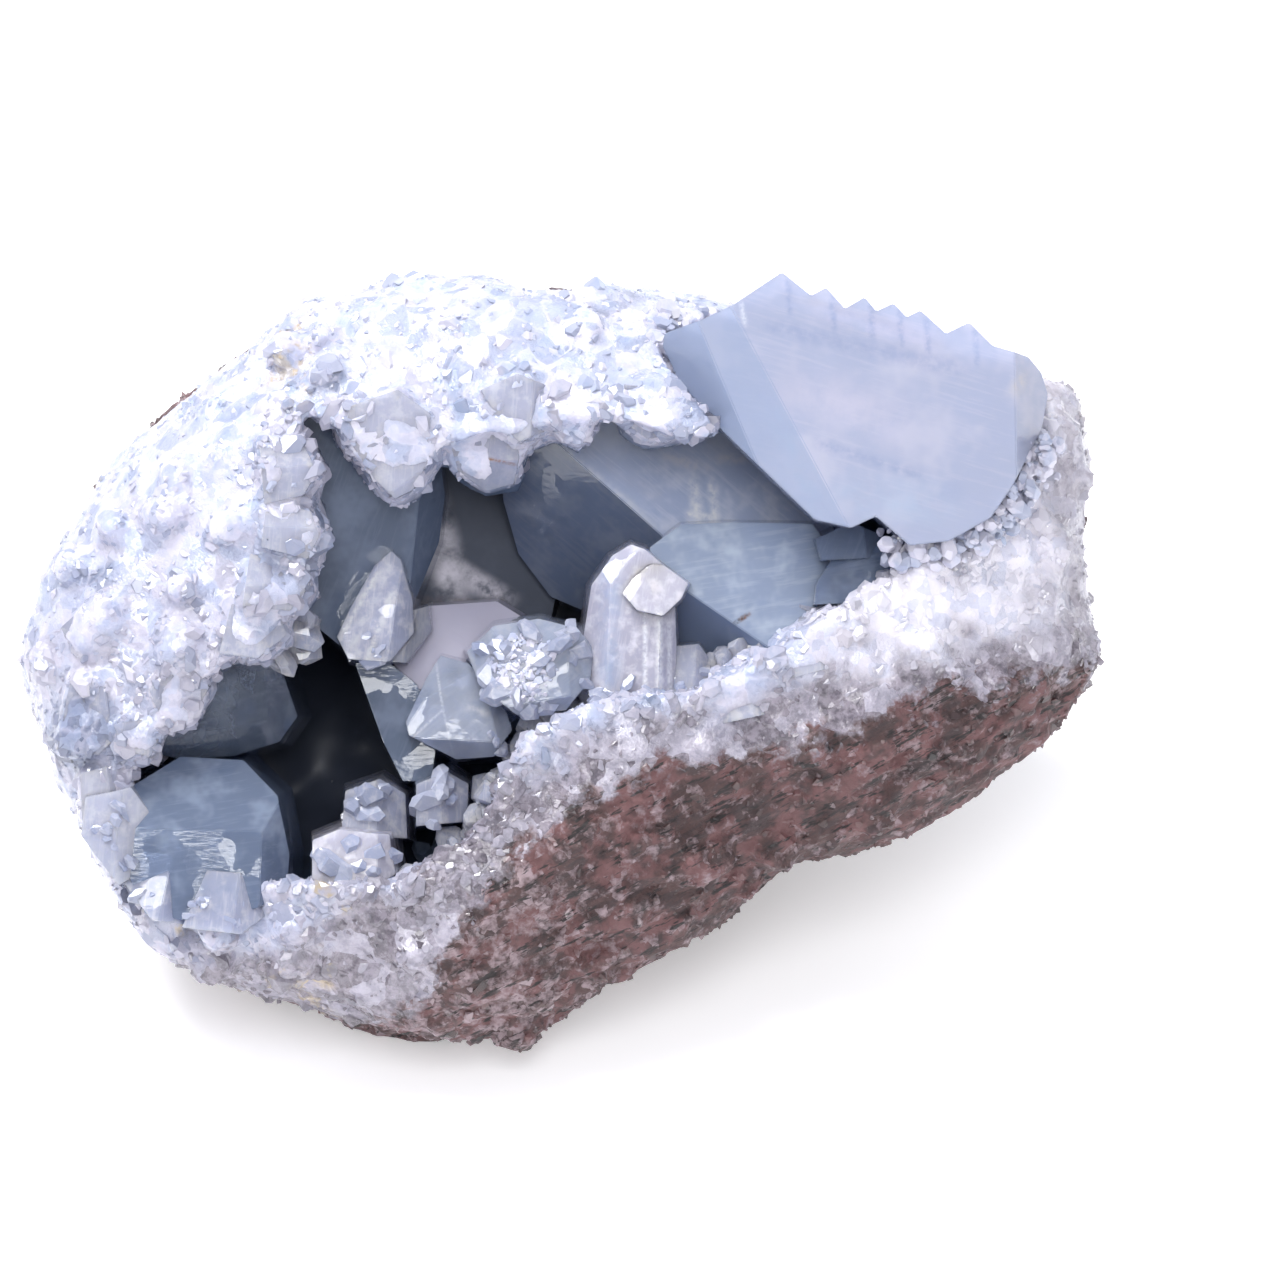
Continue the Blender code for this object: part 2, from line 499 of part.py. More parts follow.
def blade_body(grow=0.0):
    """The toothed blade: its face drawn back in depth, then cut by its side faces."""
    centre = np.mean(BLADE_FACE, axis=0)
    widest = np.abs(np.array(BLADE_FACE) - centre).max()
    form = bmesh.new()
    loops = []
    for depth in (BLADE_FRONT - grow, BLADE_BACK + grow):
        loop = []
        for x, z in centre + (np.array(BLADE_FACE) - centre) * (1 + grow / widest * BLADE_WIDENING):
            tilt = (BLADE_SLOPE[0] * (x - centre[0]) + BLADE_SLOPE[1] * (z - centre[1]))
            loop.append(form.verts.new((x, depth + tilt, z)))
        loops.append(loop)
    count = len(BLADE_FACE)
    for index in range(count):
        after = (index + 1) % count
        form.faces.new((loops[0][index], loops[0][after], loops[1][after], loops[1][index]))
    form.faces.new(loops[0])
    form.faces.new(loops[1])
    if not grow:
        for x1, z1, x2, z2, spread in BLADE_FACETS:
            start = Vector((x1, BLADE_FRONT, z1))
            outward = Vector((z2 - z1, 0.0, x1 - x2)).normalized()
            fall = outward * spread + Vector((0.0, 1.0, 0.0))
            normal = Vector((x2 - x1, 0.0, z2 - z1)).cross(fall).normalized()
            if normal.dot(outward) < 0:
                normal = -normal
            everything = form.verts[:] + form.edges[:] + form.faces[:]
            cut = bmesh.ops.bisect_plane(
                form, geom=everything, plane_co=start, plane_no=normal, clear_outer=True)
            rim = [item for item in cut["geom_cut"] if isinstance(item, bmesh.types.BMEdge)]
            bmesh.ops.contextual_create(form, geom=rim)
    bmesh.ops.triangulate(form, faces=form.faces)
    return new_object("blade_crystal", mesh_from("blade_crystal", form))


def stand_up(things):
    """Lean the stone back, turn it, cut its flat spot and put the origin under its middle."""
    setback = Matrix.Identity(4)
    setback[1][0] = SETBACK
    lean = Matrix.Rotation(math.radians(-LEAN_BACK_DEG), 4, "X")
    turn = Matrix.Rotation(math.radians(-TURN_DEG), 4, "Z")
    for thing in things:
        thing.data.transform(turn @ lean @ setback)
    wall = things[0]
    lowest = min(vert.co.z for vert in wall.data.vertices)
    form = bmesh.new()
    bmesh.ops.create_cube(form, size=CUTTER_SIZE)
    cutter = new_object("flat_spot_cutter", mesh_from("flat_spot_cutter", form))
    cutter.data.transform(Matrix.Translation((0, 0, lowest + FLAT_SPOT_CUT - CUTTER_SIZE / 2)))
    apply_boolean(wall, "DIFFERENCE", cutter)
    corners = np.array([vert.co for thing in things for vert in thing.data.vertices])
    low, high = corners.min(axis=0), corners.max(axis=0)
    to_origin = Matrix.Translation((-(low[0] + high[0]) / 2, -(low[1] + high[1]) / 2, -low[2]))
    for thing in things:
        thing.data.transform(Matrix.Scale(MM, 4) @ to_origin)


def dress(thing, name, colour, roughness):
    """Give a piece its own material."""
    material = bpy.data.materials.new(name)
    material.use_nodes = True
    shader = material.node_tree.nodes["Principled BSDF"]
    shader.inputs["Base Color"].default_value = (*colour, 1.0)
    shader.inputs["Roughness"].default_value = roughness
    shader.inputs["Metallic"].default_value = 0.0
    thing.data.materials.clear()
    thing.data.materials.append(material)


def build():
    """Build the stone's three pieces."""
    for thing in list(bpy.data.objects):
        bpy.data.objects.remove(thing)

    radius_at = outline_radius()
    wall = stone_body("geode_wall", radius_at)
    rim = [crystal.planes() for crystal in RIM_CRYSTALS]
    apply_boolean(wall, "DIFFERENCE", hollow_body("hollow"))
    for planes in rim + sown_crystals(radius_at):
        apply_boolean(wall, "UNION", convex_solid("rim_crystal", planes))
    apply_boolean(wall, "DIFFERENCE", blade_body(grow=GAP))

    blade = blade_body()

    crust = stone_body("crystal_crust", radius_at)
    crust.data.transform(Matrix.Scale(LINER_BELOW_RIM, 4))
    apply_boolean(crust, "DIFFERENCE", hollow_body("hollow_inside", inset=GAP + LINER))
    for planes in [crystal.planes() for crystal in HOLLOW_CRYSTALS] + lining_crystals():
        apply_boolean(crust, "UNION", convex_solid("hollow_crystal", planes))
    apply_boolean(crust, "INTERSECT", hollow_body("hollow_limit", inset=GAP))
    for planes in rim:
        apply_boolean(crust, "DIFFERENCE", convex_solid("rim_clearance", planes, grow=GAP))
    apply_boolean(crust, "DIFFERENCE", blade_body(grow=GAP))
    keep_main_body(crust)

    stand_up([wall, crust, blade])
    dress(wall, "geode_wall", (0.62, 0.62, 0.70), 0.55)
    dress(crust, "celestite_crust", (0.20, 0.26, 0.36), 0.2)
    dress(blade, "celestite_blade", (0.50, 0.57, 0.76), 0.15)


if __name__ == "__main__":
    build()
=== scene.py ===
"""A broken celestite geode: the looks of its wall, its crust of crystals and its toothed blade.

The stone is drawn as it is looked at, in millimetres: x to the right, z up and y away from
the eye. Attitude turns a drawing into the part's frame, in metres, where the stone leans back
on its flat spot. Crystals are convex bodies cut out of space by their flat faces.
"""

import logging
import math
import random
from dataclasses import dataclass
from enum import Enum
from itertools import combinations

import bmesh
import bpy
import numpy as np
from mathutils import Matrix, Vector, kdtree, noise


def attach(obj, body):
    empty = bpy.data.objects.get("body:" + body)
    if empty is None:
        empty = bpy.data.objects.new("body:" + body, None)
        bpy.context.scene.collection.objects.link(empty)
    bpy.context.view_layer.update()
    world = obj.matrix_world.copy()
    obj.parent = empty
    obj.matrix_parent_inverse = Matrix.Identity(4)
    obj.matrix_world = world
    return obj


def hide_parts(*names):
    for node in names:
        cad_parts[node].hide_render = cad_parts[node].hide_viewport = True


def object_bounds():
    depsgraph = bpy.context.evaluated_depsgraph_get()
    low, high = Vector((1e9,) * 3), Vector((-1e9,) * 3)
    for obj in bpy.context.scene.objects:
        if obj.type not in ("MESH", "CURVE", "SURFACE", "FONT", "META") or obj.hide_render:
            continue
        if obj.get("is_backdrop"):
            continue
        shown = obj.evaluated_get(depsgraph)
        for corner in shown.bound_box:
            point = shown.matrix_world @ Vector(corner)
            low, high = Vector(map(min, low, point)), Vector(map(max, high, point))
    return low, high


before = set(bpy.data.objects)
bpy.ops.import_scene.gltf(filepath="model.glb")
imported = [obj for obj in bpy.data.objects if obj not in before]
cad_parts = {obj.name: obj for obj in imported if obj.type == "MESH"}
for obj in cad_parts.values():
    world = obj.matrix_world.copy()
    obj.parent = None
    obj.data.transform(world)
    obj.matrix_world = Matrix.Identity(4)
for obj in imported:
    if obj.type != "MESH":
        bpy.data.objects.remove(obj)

log = logging.getLogger("celestite")
MM = 0.001
Points = np.ndarray
Planes = list[tuple[np.ndarray, float]]
LOOKS = ("rock", "blue", "stain", "shaded_grey", "mixed", "lit_snow")


@dataclass(frozen=True)
class Attitude:
    """How the drawing of the stone stands in the part's frame, in degrees and millimetres."""

    lean_back: float = 35.0
    turn: float = 16.6
    setback: float = 0.15
    middle: tuple[float, float, float] = (-2.05, -5.064, 28.763)

    def turning(self) -> Points:
        """Rotation from the drawing's directions to the part's."""
        lean = Matrix.Rotation(math.radians(-self.lean_back), 3, "X")
        return np.array(Matrix.Rotation(math.radians(-self.turn), 3, "Z") @ lean)

    def placing(self) -> Points:
        """Rotation with the setback of the stone's right end."""
        setback = np.identity(3)
        setback[1, 0] = self.setback
        return self.turning() @ setback

    def to_part(self, points: Points) -> Points:
        """Drawing points, in millimetres, as points of the part, in metres."""
        return (np.asarray(points) @ self.placing().T + np.array(self.middle)) * MM

    def to_drawing(self, points: Points) -> Points:
        """Points of the part, in metres, as drawing points, in millimetres."""
        return (np.asarray(points) / MM - np.array(self.middle)) @ np.linalg.inv(self.placing()).T


ATTITUDE = Attitude()


def linear(code: str) -> tuple[float, float, float, float]:
    """Turn an sRGB hex colour into linear red, green, blue and alpha.

    Args:
        code: six hex digits.

    Returns:
        The colour as Blender's sockets take it.
    """
    parts = [int(code[place : place + 2], 16) / 255 for place in (0, 2, 4)]
    red, green, blue = (p / 12.92 if p <= 0.04045 else ((p + 0.055) / 1.055) ** 2.4 for p in parts)
    return (red, green, blue, 1.0)


def add_node(tree, kind: str, settings: dict | None = None, links: dict | None = None):
    """Add a node with its settings and its incoming links.

    Args:
        tree: the node tree that takes it.
        kind: Blender's name of the node's type.
        settings: values by input name or number, or by the node's own property name. A hex
            code is taken as a colour.
        links: output sockets by the name or number of the input they feed.

    Returns:
        The new node.
    """
    node = tree.nodes.new(kind)
    own = {key: value for key, value in (settings or {}).items() if isinstance(key, str) and hasattr(node, key)}
    for key, value in own.items():
        setattr(node, key, value)
    for key, value in (settings or {}).items():
        if key not in own:
            node.inputs[key].default_value = linear(value) if isinstance(value, str) else value
    for key, socket in (links or {}).items():
        tree.links.new(socket, node.inputs[key])
    return node


class Paint:
    """Short names for the patterns that the finishes are mixed from, in one node tree."""

    def __init__(self, name: str) -> None:
        """Start an empty material."""
        self.material = bpy.data.materials.new(name)
        self.material.use_nodes = True
        self.tree = self.material.node_tree
        self.tree.nodes.clear()
        self.output = add_node(self.tree, "ShaderNodeOutputMaterial")
        self.place = add_node(self.tree, "ShaderNodeAttribute", {"attribute_name": "drawing"}).outputs["Vector"]

    def share(self, name: str):
        """Value of a mesh attribute."""
        return add_node(self.tree, "ShaderNodeAttribute", {"attribute_name": name}).outputs["Fac"]

    def blend(self, share, low, high):
        """Mix two colours, each a hex code or a socket.

        Args:
            share: socket that is 0 for low and 1 for high.
            low: the first colour.
            high: the second colour.

        Returns:
            The mixed colour's socket.
        """
        colours = {6: low, 7: high}
        settings = {key: value for key, value in colours.items() if isinstance(value, str)}
        links = {key: value for key, value in colours.items() if key not in settings}
        mix = {"data_type": "RGBA", **settings}
        return add_node(self.tree, "ShaderNodeMix", mix, {0: share, **links}).outputs[2]

    def between(self, socket, low: float, high: float, top: float = 1.0):
        """Rise from 0 at low to top at high, softly."""
        settings = {"interpolation_type": "SMOOTHSTEP", "From Min": low, "From Max": high, "To Max": top}
        return add_node(self.tree, "ShaderNodeMapRange", settings, {"Value": socket}).outputs["Result"]

    def maths(self, operation: str, first, second):
        """Join two values, each a socket or a number, by one operation."""
        values = {0: first, 1: second}
        settings = {key: value for key, value in values.items() if isinstance(value, (int, float))}
        links = {key: value for key, value in values.items() if key not in settings}
        return add_node(self.tree, "ShaderNodeMath", {"operation": operation, **settings}, links).outputs[0]

    def speckle(self, size: float, detail: float = 3.0, lift: float = 0.5, along: tuple | None = None,
                turn: float = 0.0):
        """Noise with features of a size in millimetres.

        Args:
            size: the features' size.
            detail: how many finer layers it has.
            lift: strength of the finer layers.
            along: how much the features are drawn out along x, y and z, if they are.
            turn: how far they are then turned in the face plane, in degrees.

        Returns:
            Socket of the noise, about 0.5 in the middle.
        """
        place = self.place
        if along:
            scale = tuple(1 / stretch for stretch in along)
            turned = {"vector_type": "TEXTURE", "Rotation": (0.0, math.radians(-turn), 0.0)}
            place = add_node(self.tree, "ShaderNodeMapping", turned, {"Vector": place}).outputs[0]
            place = add_node(self.tree, "ShaderNodeMapping", {"Scale": scale}, {"Vector": place}).outputs[0]
        settings = {"Scale": 1 / size, "Detail": detail, "Roughness": lift}
        return add_node(self.tree, "ShaderNodeTexNoise", settings, {"Vector": place}).outputs["Fac"]

    def beside_line(self, veil: "Veil"):
        """Mask that is 1 on a line drawn in the face plane and fades out beside it."""
        (x1, z1), (x2, z2) = veil.start, veil.end
        length = math.hypot(x2 - x1, z2 - z1)
        along, across = ((x2 - x1) / length, 0.0, (z2 - z1) / length), ((z1 - z2) / length, 0.0, (x2 - x1) / length)
        values = []
        for direction in (along, across):
            dot = add_node(self.tree, "ShaderNodeVectorMath", {"operation": "DOT_PRODUCT", 1: direction}, {0: self.place})
            start = direction[0] * x1 + direction[2] * z1
            values.append(self.maths("SUBTRACT", dot.outputs["Value"], start))
        aside = add_node(self.tree, "ShaderNodeMath", {"operation": "ABSOLUTE"}, {0: values[1]}).outputs[0]
        near = self.between(aside, veil.width, 0.0)
        begun, ended = self.between(values[0], -veil.width, veil.width), self.between(values[0], length, length - 2 * veil.width)
        ragged = self.between(self.speckle(veil.width * 0.9, 4.0, 0.6), 0.25, 0.7, veil.strength)
        return self.maths("MULTIPLY", self.maths("MULTIPLY", near, begun), self.maths("MULTIPLY", ended, ragged))

    def vector(self, operation: str, first, second=None):
        """Join two vectors by one operation, or a vector and a number or three of them."""
        place = "Scale" if operation == "SCALE" else 1
        fixed = isinstance(second, (int, float, tuple))
        settings = {"operation": operation, **({place: second} if fixed else {})}
        links = {0: first, **({} if fixed or second is None else {1: second})}
        return add_node(self.tree, "ShaderNodeVectorMath", settings, links).outputs[0]

    def grains(self, size: float, ragged: float = 0.5):
        """Grown-together grains of a size in millimetres.

        Args:
            size: the grains' size.
            ragged: how far their borders wander, as a share of their size.

        Returns:
            Sockets of each grain's own random colour, and of the distance to its border.
        """
        wander = add_node(self.tree, "ShaderNodeTexNoise", {"Scale": 1.4 / size, "Detail": 2.0}, {"Vector": self.place})
        shift = self.vector("SCALE", wander.outputs["Color"], ragged * size)
        place = self.vector("ADD", self.place, shift)
        whole = add_node(self.tree, "ShaderNodeTexVoronoi", {"Scale": 1 / size}, {"Vector": place})
        border = {"feature": "DISTANCE_TO_EDGE", "Scale": 1 / size}
        edges = add_node(self.tree, "ShaderNodeTexVoronoi", border, {"Vector": place})
        return whole.outputs["Color"], edges.outputs["Distance"]

    def tilted(self, normal, *facets: tuple):
        """Turn a normal grain by grain, so that each grain shows a flat facet of its own.

        Args:
            normal: socket of the normal.
            facets: pairs of the grains' colour socket and how far they tilt.

        Returns:
            Socket of the new normal.
        """
        for colour, tilt in facets:
            away = self.vector("SUBTRACT", colour, (0.5, 0.5, 0.5))
            normal = self.vector("ADD", normal, self.vector("SCALE", away, tilt))
        return self.vector("NORMALIZE", normal)

    def softened(self, share: float):
        """Normal turned by a share towards the stone's own, because light spreads inside small crystals."""
        own = add_node(self.tree, "ShaderNodeNewGeometry").outputs["Normal"]
        stone = add_node(self.tree, "ShaderNodeAttribute", {"attribute_name": "outward"}).outputs["Vector"]
        return self.turned(share, own, stone)

    def turned(self, share, first, second):
        """Normal between two, the share being a socket or a number."""
        fixed = {0: share} if isinstance(share, float) else {}
        links = {4: first, 5: second, **({} if fixed else {0: share})}
        mix = add_node(self.tree, "ShaderNodeMix", {"data_type": "VECTOR", **fixed}, links)
        return self.vector("NORMALIZE", mix.outputs[1])

    def bumps(self, height, strength: float, distance: float):
        """Normal that a height gives, with the relief's depth in millimetres."""
        settings = {"Strength": strength, "Distance": distance * MM}
        return add_node(self.tree, "ShaderNodeBump", settings, {"Height": height}).outputs[0]

    def finish(self, settings: dict, links: dict, absorption: tuple[str, float] | None = None):
        """End in one Principled shader, with absorption inside if it is clear.

        Args:
            settings: the shader's own values.
            links: the sockets that feed it.
            absorption: colour left after depth, and density for each metre.

        Returns:
            The material.
        """
        shader = add_node(self.tree, "ShaderNodeBsdfPrincipled", settings, links)
        self.tree.links.new(shader.outputs[0], self.output.inputs["Surface"])
        if absorption:
            inside = {"Color": absorption[0], "Density": absorption[1]}
            absorb = add_node(self.tree, "ShaderNodeVolumeAbsorption", inside)
            self.tree.links.new(absorb.outputs[0], self.output.inputs["Volume"])
        return self.material


@dataclass(frozen=True)
class Veil:
    """A veil of colour along a line drawn in the face plane, in millimetres: milky clouds in a crystal, stains, and
    painted highlights, glints and reflections.
    """

    start: tuple[float, float]
    end: tuple[float, float]
    width: float
    strength: float = 0.8
    colour: str = "C9CDE0"


@dataclass(frozen=True)
class StoneFinish:
    """Massive celestite grown on host rock, broken open by hand.

    To the eye: frosty, half clear grains in white, lavender and pale blue that glint on
    small flat faces, a pinkish brown rock band with dark seams, beige stains, and slate
    blue where the hollow's lining shows. Painted into the colour are shade that greys the
    lower front and darkens the hollow deep in, highlights along the grain borders, and
    light that whitens the right end.
    """

    white: str = "CAC8D8"
    lavender: str = "B6B6CA"
    blue: str = "A6B1CC"
    clear: str = "8E9AB6"
    # white that lifts the right end: partly its white sugar, partly painted light
    lit_snow: str = "E9E5EE"
    deep_blue: str = "707A94"
    # greys of the lower front: partly the greyish band above the rock, partly painted shade
    shaded_grey: str = "625C66"
    shaded_grey_pale: str = "8E8792"
    rock: str = "352527"
    rock_grey: str = "452D2C"
    rock_pink: str = "624142"
    rock_pale: str = "8C7B80"
    rock_dark: str = "1A1214"
    stain: str = "BFAF95"
    hollow: str = "56647C"
    # darker slate deep in the hollow: painted shade
    cave_shade: str = "343947"
    strata: tuple[float, float, float] = (4.0, 3.0, 0.8)
    strata_turn: float = 27.0

    def crust(self, paint: Paint, grain):
        """Colour of the celestite, with a clearer or whiter look for each grain, painted light whitening the right end
        and painted shade greying the lower front.
        """
        patches = paint.between(paint.speckle(6.0, 3.0), 0.44, 0.62)
        frost = paint.between(paint.speckle(2.0, 3.0, 0.65), 0.3, 0.62)
        crust = paint.blend(frost, paint.blend(patches, self.lavender, self.blue), self.white)
        crust = paint.blend(paint.between(grain, 0.5, 0.66, 0.6), crust, self.clear)
        # painted light: the right end whitens
        crust = paint.blend(paint.maths("MULTIPLY", paint.share("lit_snow"), 0.75), crust, self.lit_snow)
        crust = paint.blend(paint.share("blue"), crust, self.deep_blue)
        # painted shade: the greyish mix over the lower front, with white grains in it
        shaded = paint.blend(paint.between(paint.speckle(0.9, 3.0, 0.7), 0.36, 0.62), self.shaded_grey, self.shaded_grey_pale)
        shaded = paint.blend(paint.between(grain, 0.45, 0.75, 0.4), shaded, self.white)
        crust = paint.blend(paint.share("shaded_grey"), crust, shaded)
        spots = paint.between(paint.speckle(2.2, 3.0, 0.65), 0.5, 0.66)
        return paint.blend(paint.maths("MULTIPLY", spots, paint.share("stain")), crust, self.stain)

    def host_rock(self, paint: Paint, chips):
        """Colour of the rock: thin layers with dark seams, and pale half clear chips."""
        layers = paint.between(paint.speckle(0.9, 3.0, 0.75, self.strata, self.strata_turn), 0.4, 0.6)
        rock = paint.blend(layers, self.rock, self.rock_grey)
        rock = paint.blend(paint.between(paint.speckle(3.0, 3.0, 0.6), 0.45, 0.6), rock, self.rock_pink)
        pale = paint.maths("ADD", paint.speckle(1.3, 3.0, 0.7), paint.maths("MULTIPLY", chips, 0.34))
        rock = paint.blend(paint.between(paint.maths("ADD", pale, paint.share("mixed")), 0.72, 1.02), rock, self.rock_pale)
        seams = paint.between(paint.speckle(0.8, 3.0, 0.75, self.strata, self.strata_turn), 0.55, 0.63)
        return paint.blend(seams, rock, self.rock_dark)

    def rock_share(self, paint: Paint, chips):
        """How far a place is rock: its border is ragged, with chips of either kind."""
        ragged = paint.maths("ADD", paint.share("rock"), paint.speckle(1.6, 3.0, 0.75))
        ragged = paint.maths("ADD", ragged, paint.maths("MULTIPLY", chips, 0.5))
        return paint.between(ragged, 1.05, 1.4)

    def material(self):
        """The finish as a material."""
        paint = Paint("massive_celestite_on_rock")
        coarse, border = paint.grains(2.6)
        fine, _ = paint.grains(1.1)
        crust = self.crust(paint, coarse)
        lit = paint.between(paint.share("shaded_grey"), 1.0, 0.0)
        # painted highlight: grain borders turn white, only outside the painted shade
        crust = paint.blend(paint.maths("MULTIPLY", paint.between(border, 0.12, 0.0, 0.3), lit), crust, self.white)
        crust = paint.blend(paint.maths("MULTIPLY", paint.between(fine, 0.5, 0.7, 0.35), lit), crust, self.blue)
        rock = self.rock_share(paint, fine)
        colour = paint.blend(rock, crust, self.host_rock(paint, fine))
        # painted shade: the hollow's slate darkens deeper in
        inner = paint.blend(paint.share("deep"), self.hollow, self.cave_shade)
        colour = paint.blend(paint.share("hollow"), colour, inner)
        rough = add_node(paint.tree, "ShaderNodeMapRange", {"To Min": 0.26, "To Max": 0.75}, {"Value": rock})
        settings = {
            "Subsurface Weight": 0.5, "Subsurface Radius": (1.0, 1.05, 1.2), "Subsurface Scale": 1.6 * MM,
            "IOR": 1.62,
        }
        grit = paint.bumps(paint.speckle(0.5, 2.0, 0.7), 0.5, 0.25)
        normal = paint.tilted(grit, (coarse, 0.55), (fine, 0.4))
        smooth = add_node(paint.tree, "ShaderNodeNewGeometry").outputs["Normal"]
        links = {
            "Base Color": colour, "Roughness": rough.outputs[0],
            "Normal": paint.turned(paint.share("hollow"), normal, smooth),
        }
        return paint.finish(settings, links)


@dataclass(frozen=True)
class SugarFinish:
    """Small celestite crystals, as they grew.

    To the eye: wet sugar, half clear, of the colour of the mass that they grow from, and
    brownish where they sit on the rock. Light spreads inside them, so their sides differ
    little, and their flat faces glint.
    """

    name: str = "sugar_celestite"
    clear: float = 0.12
    roughness: float = 0.15
    soft: float = 0.5
    stone: StoneFinish = StoneFinish()

    def material(self):
        """The finish as a material."""
        paint = Paint(self.name)
        tint = paint.share("tint")
        crust = self.stone.crust(paint, tint)
        colour = paint.blend(self.stone.rock_share(paint, tint), crust, self.stone.host_rock(paint, tint))
        settings = {
            "Transmission Weight": self.clear, "IOR": 1.62, "Roughness": self.roughness,
        }
        links = {"Base Color": colour, "Normal": paint.softened(self.soft)}
        return paint.finish(settings, links)


@dataclass(frozen=True)
class ClearFinish:
    """Celestite crystal with flat growth faces, more or less clear.

    To the eye: glassy faces with faint growth lines, a blue that deepens where the crystal
    is thick, and milky clouds and veils inside. The clouds are coarser than real ones, so
    that they show. Faces turned the marked way take a tint of painted shade, and some
    veils are painted highlights, glints and reflections.
    """

    name: str
    colour: str
    cloud: str
    clear: float
    roughness: float = 0.06
    cloud_size: float = 4.0
    cloud_from: float = 0.45
    cloud_to: float = 0.7
    depth_colour: str = "8FA9CC"
    density: float = 60.0
    lines: float = 0.08
    facets: float = 0.06
    facet_size: float = 3.0
    # tint painted on faces turned the marked way: painted shade, and painted light on the slate crystals
    side: str = "45536B"
    milky: float = 0.2
    streak: float = 0.35
    streak_turn: float = -40.0
    soft: float = 0.0
    veils: tuple[Veil, ...] = ()

    def material(self):
        """The finish as a material."""
        paint = Paint(self.name)
        clouds = paint.between(paint.speckle(self.cloud_size, 3.0, 0.62), self.cloud_from, self.cloud_to)
        colour = paint.blend(clouds, self.colour, self.cloud)
        colour = paint.blend(paint.maths("MULTIPLY", paint.share("tint"), 0.5), colour, self.cloud)
        streaks = paint.speckle(1.2, 3.0, 0.7, (5.0, 1.0, 0.35), self.streak_turn)
        colour = paint.blend(paint.between(streaks, 0.5, 0.66, self.streak), colour, self.cloud)
        for veil in self.veils:
            colour = paint.blend(paint.beside_line(veil), colour, veil.colour)
        # painted shade: faces turned the marked way take the side tint
        colour = paint.blend(paint.share("side"), colour, self.side)
        growth = paint.speckle(1.0, 2.0, 0.5, (1.2, 1.2, 0.3))
        inner, _ = paint.grains(self.facet_size, 0.8)
        settings = {
            "Transmission Weight": self.clear, "IOR": 1.62, "Roughness": self.roughness,
            "Subsurface Weight": self.milky, "Subsurface Radius": (1.0, 1.1, 1.3), "Subsurface Scale": 1.5 * MM,
        }
        normal = paint.tilted(paint.bumps(growth, self.lines, 0.1), (inner, self.facets))
        if self.soft:
            stone = add_node(paint.tree, "ShaderNodeAttribute", {"attribute_name": "outward"}).outputs["Vector"]
            normal = paint.turned(self.soft, normal, stone)
        links = {"Base Color": colour, "Normal": normal}
        return paint.finish(settings, links, (self.depth_colour, self.density) if self.density else None)


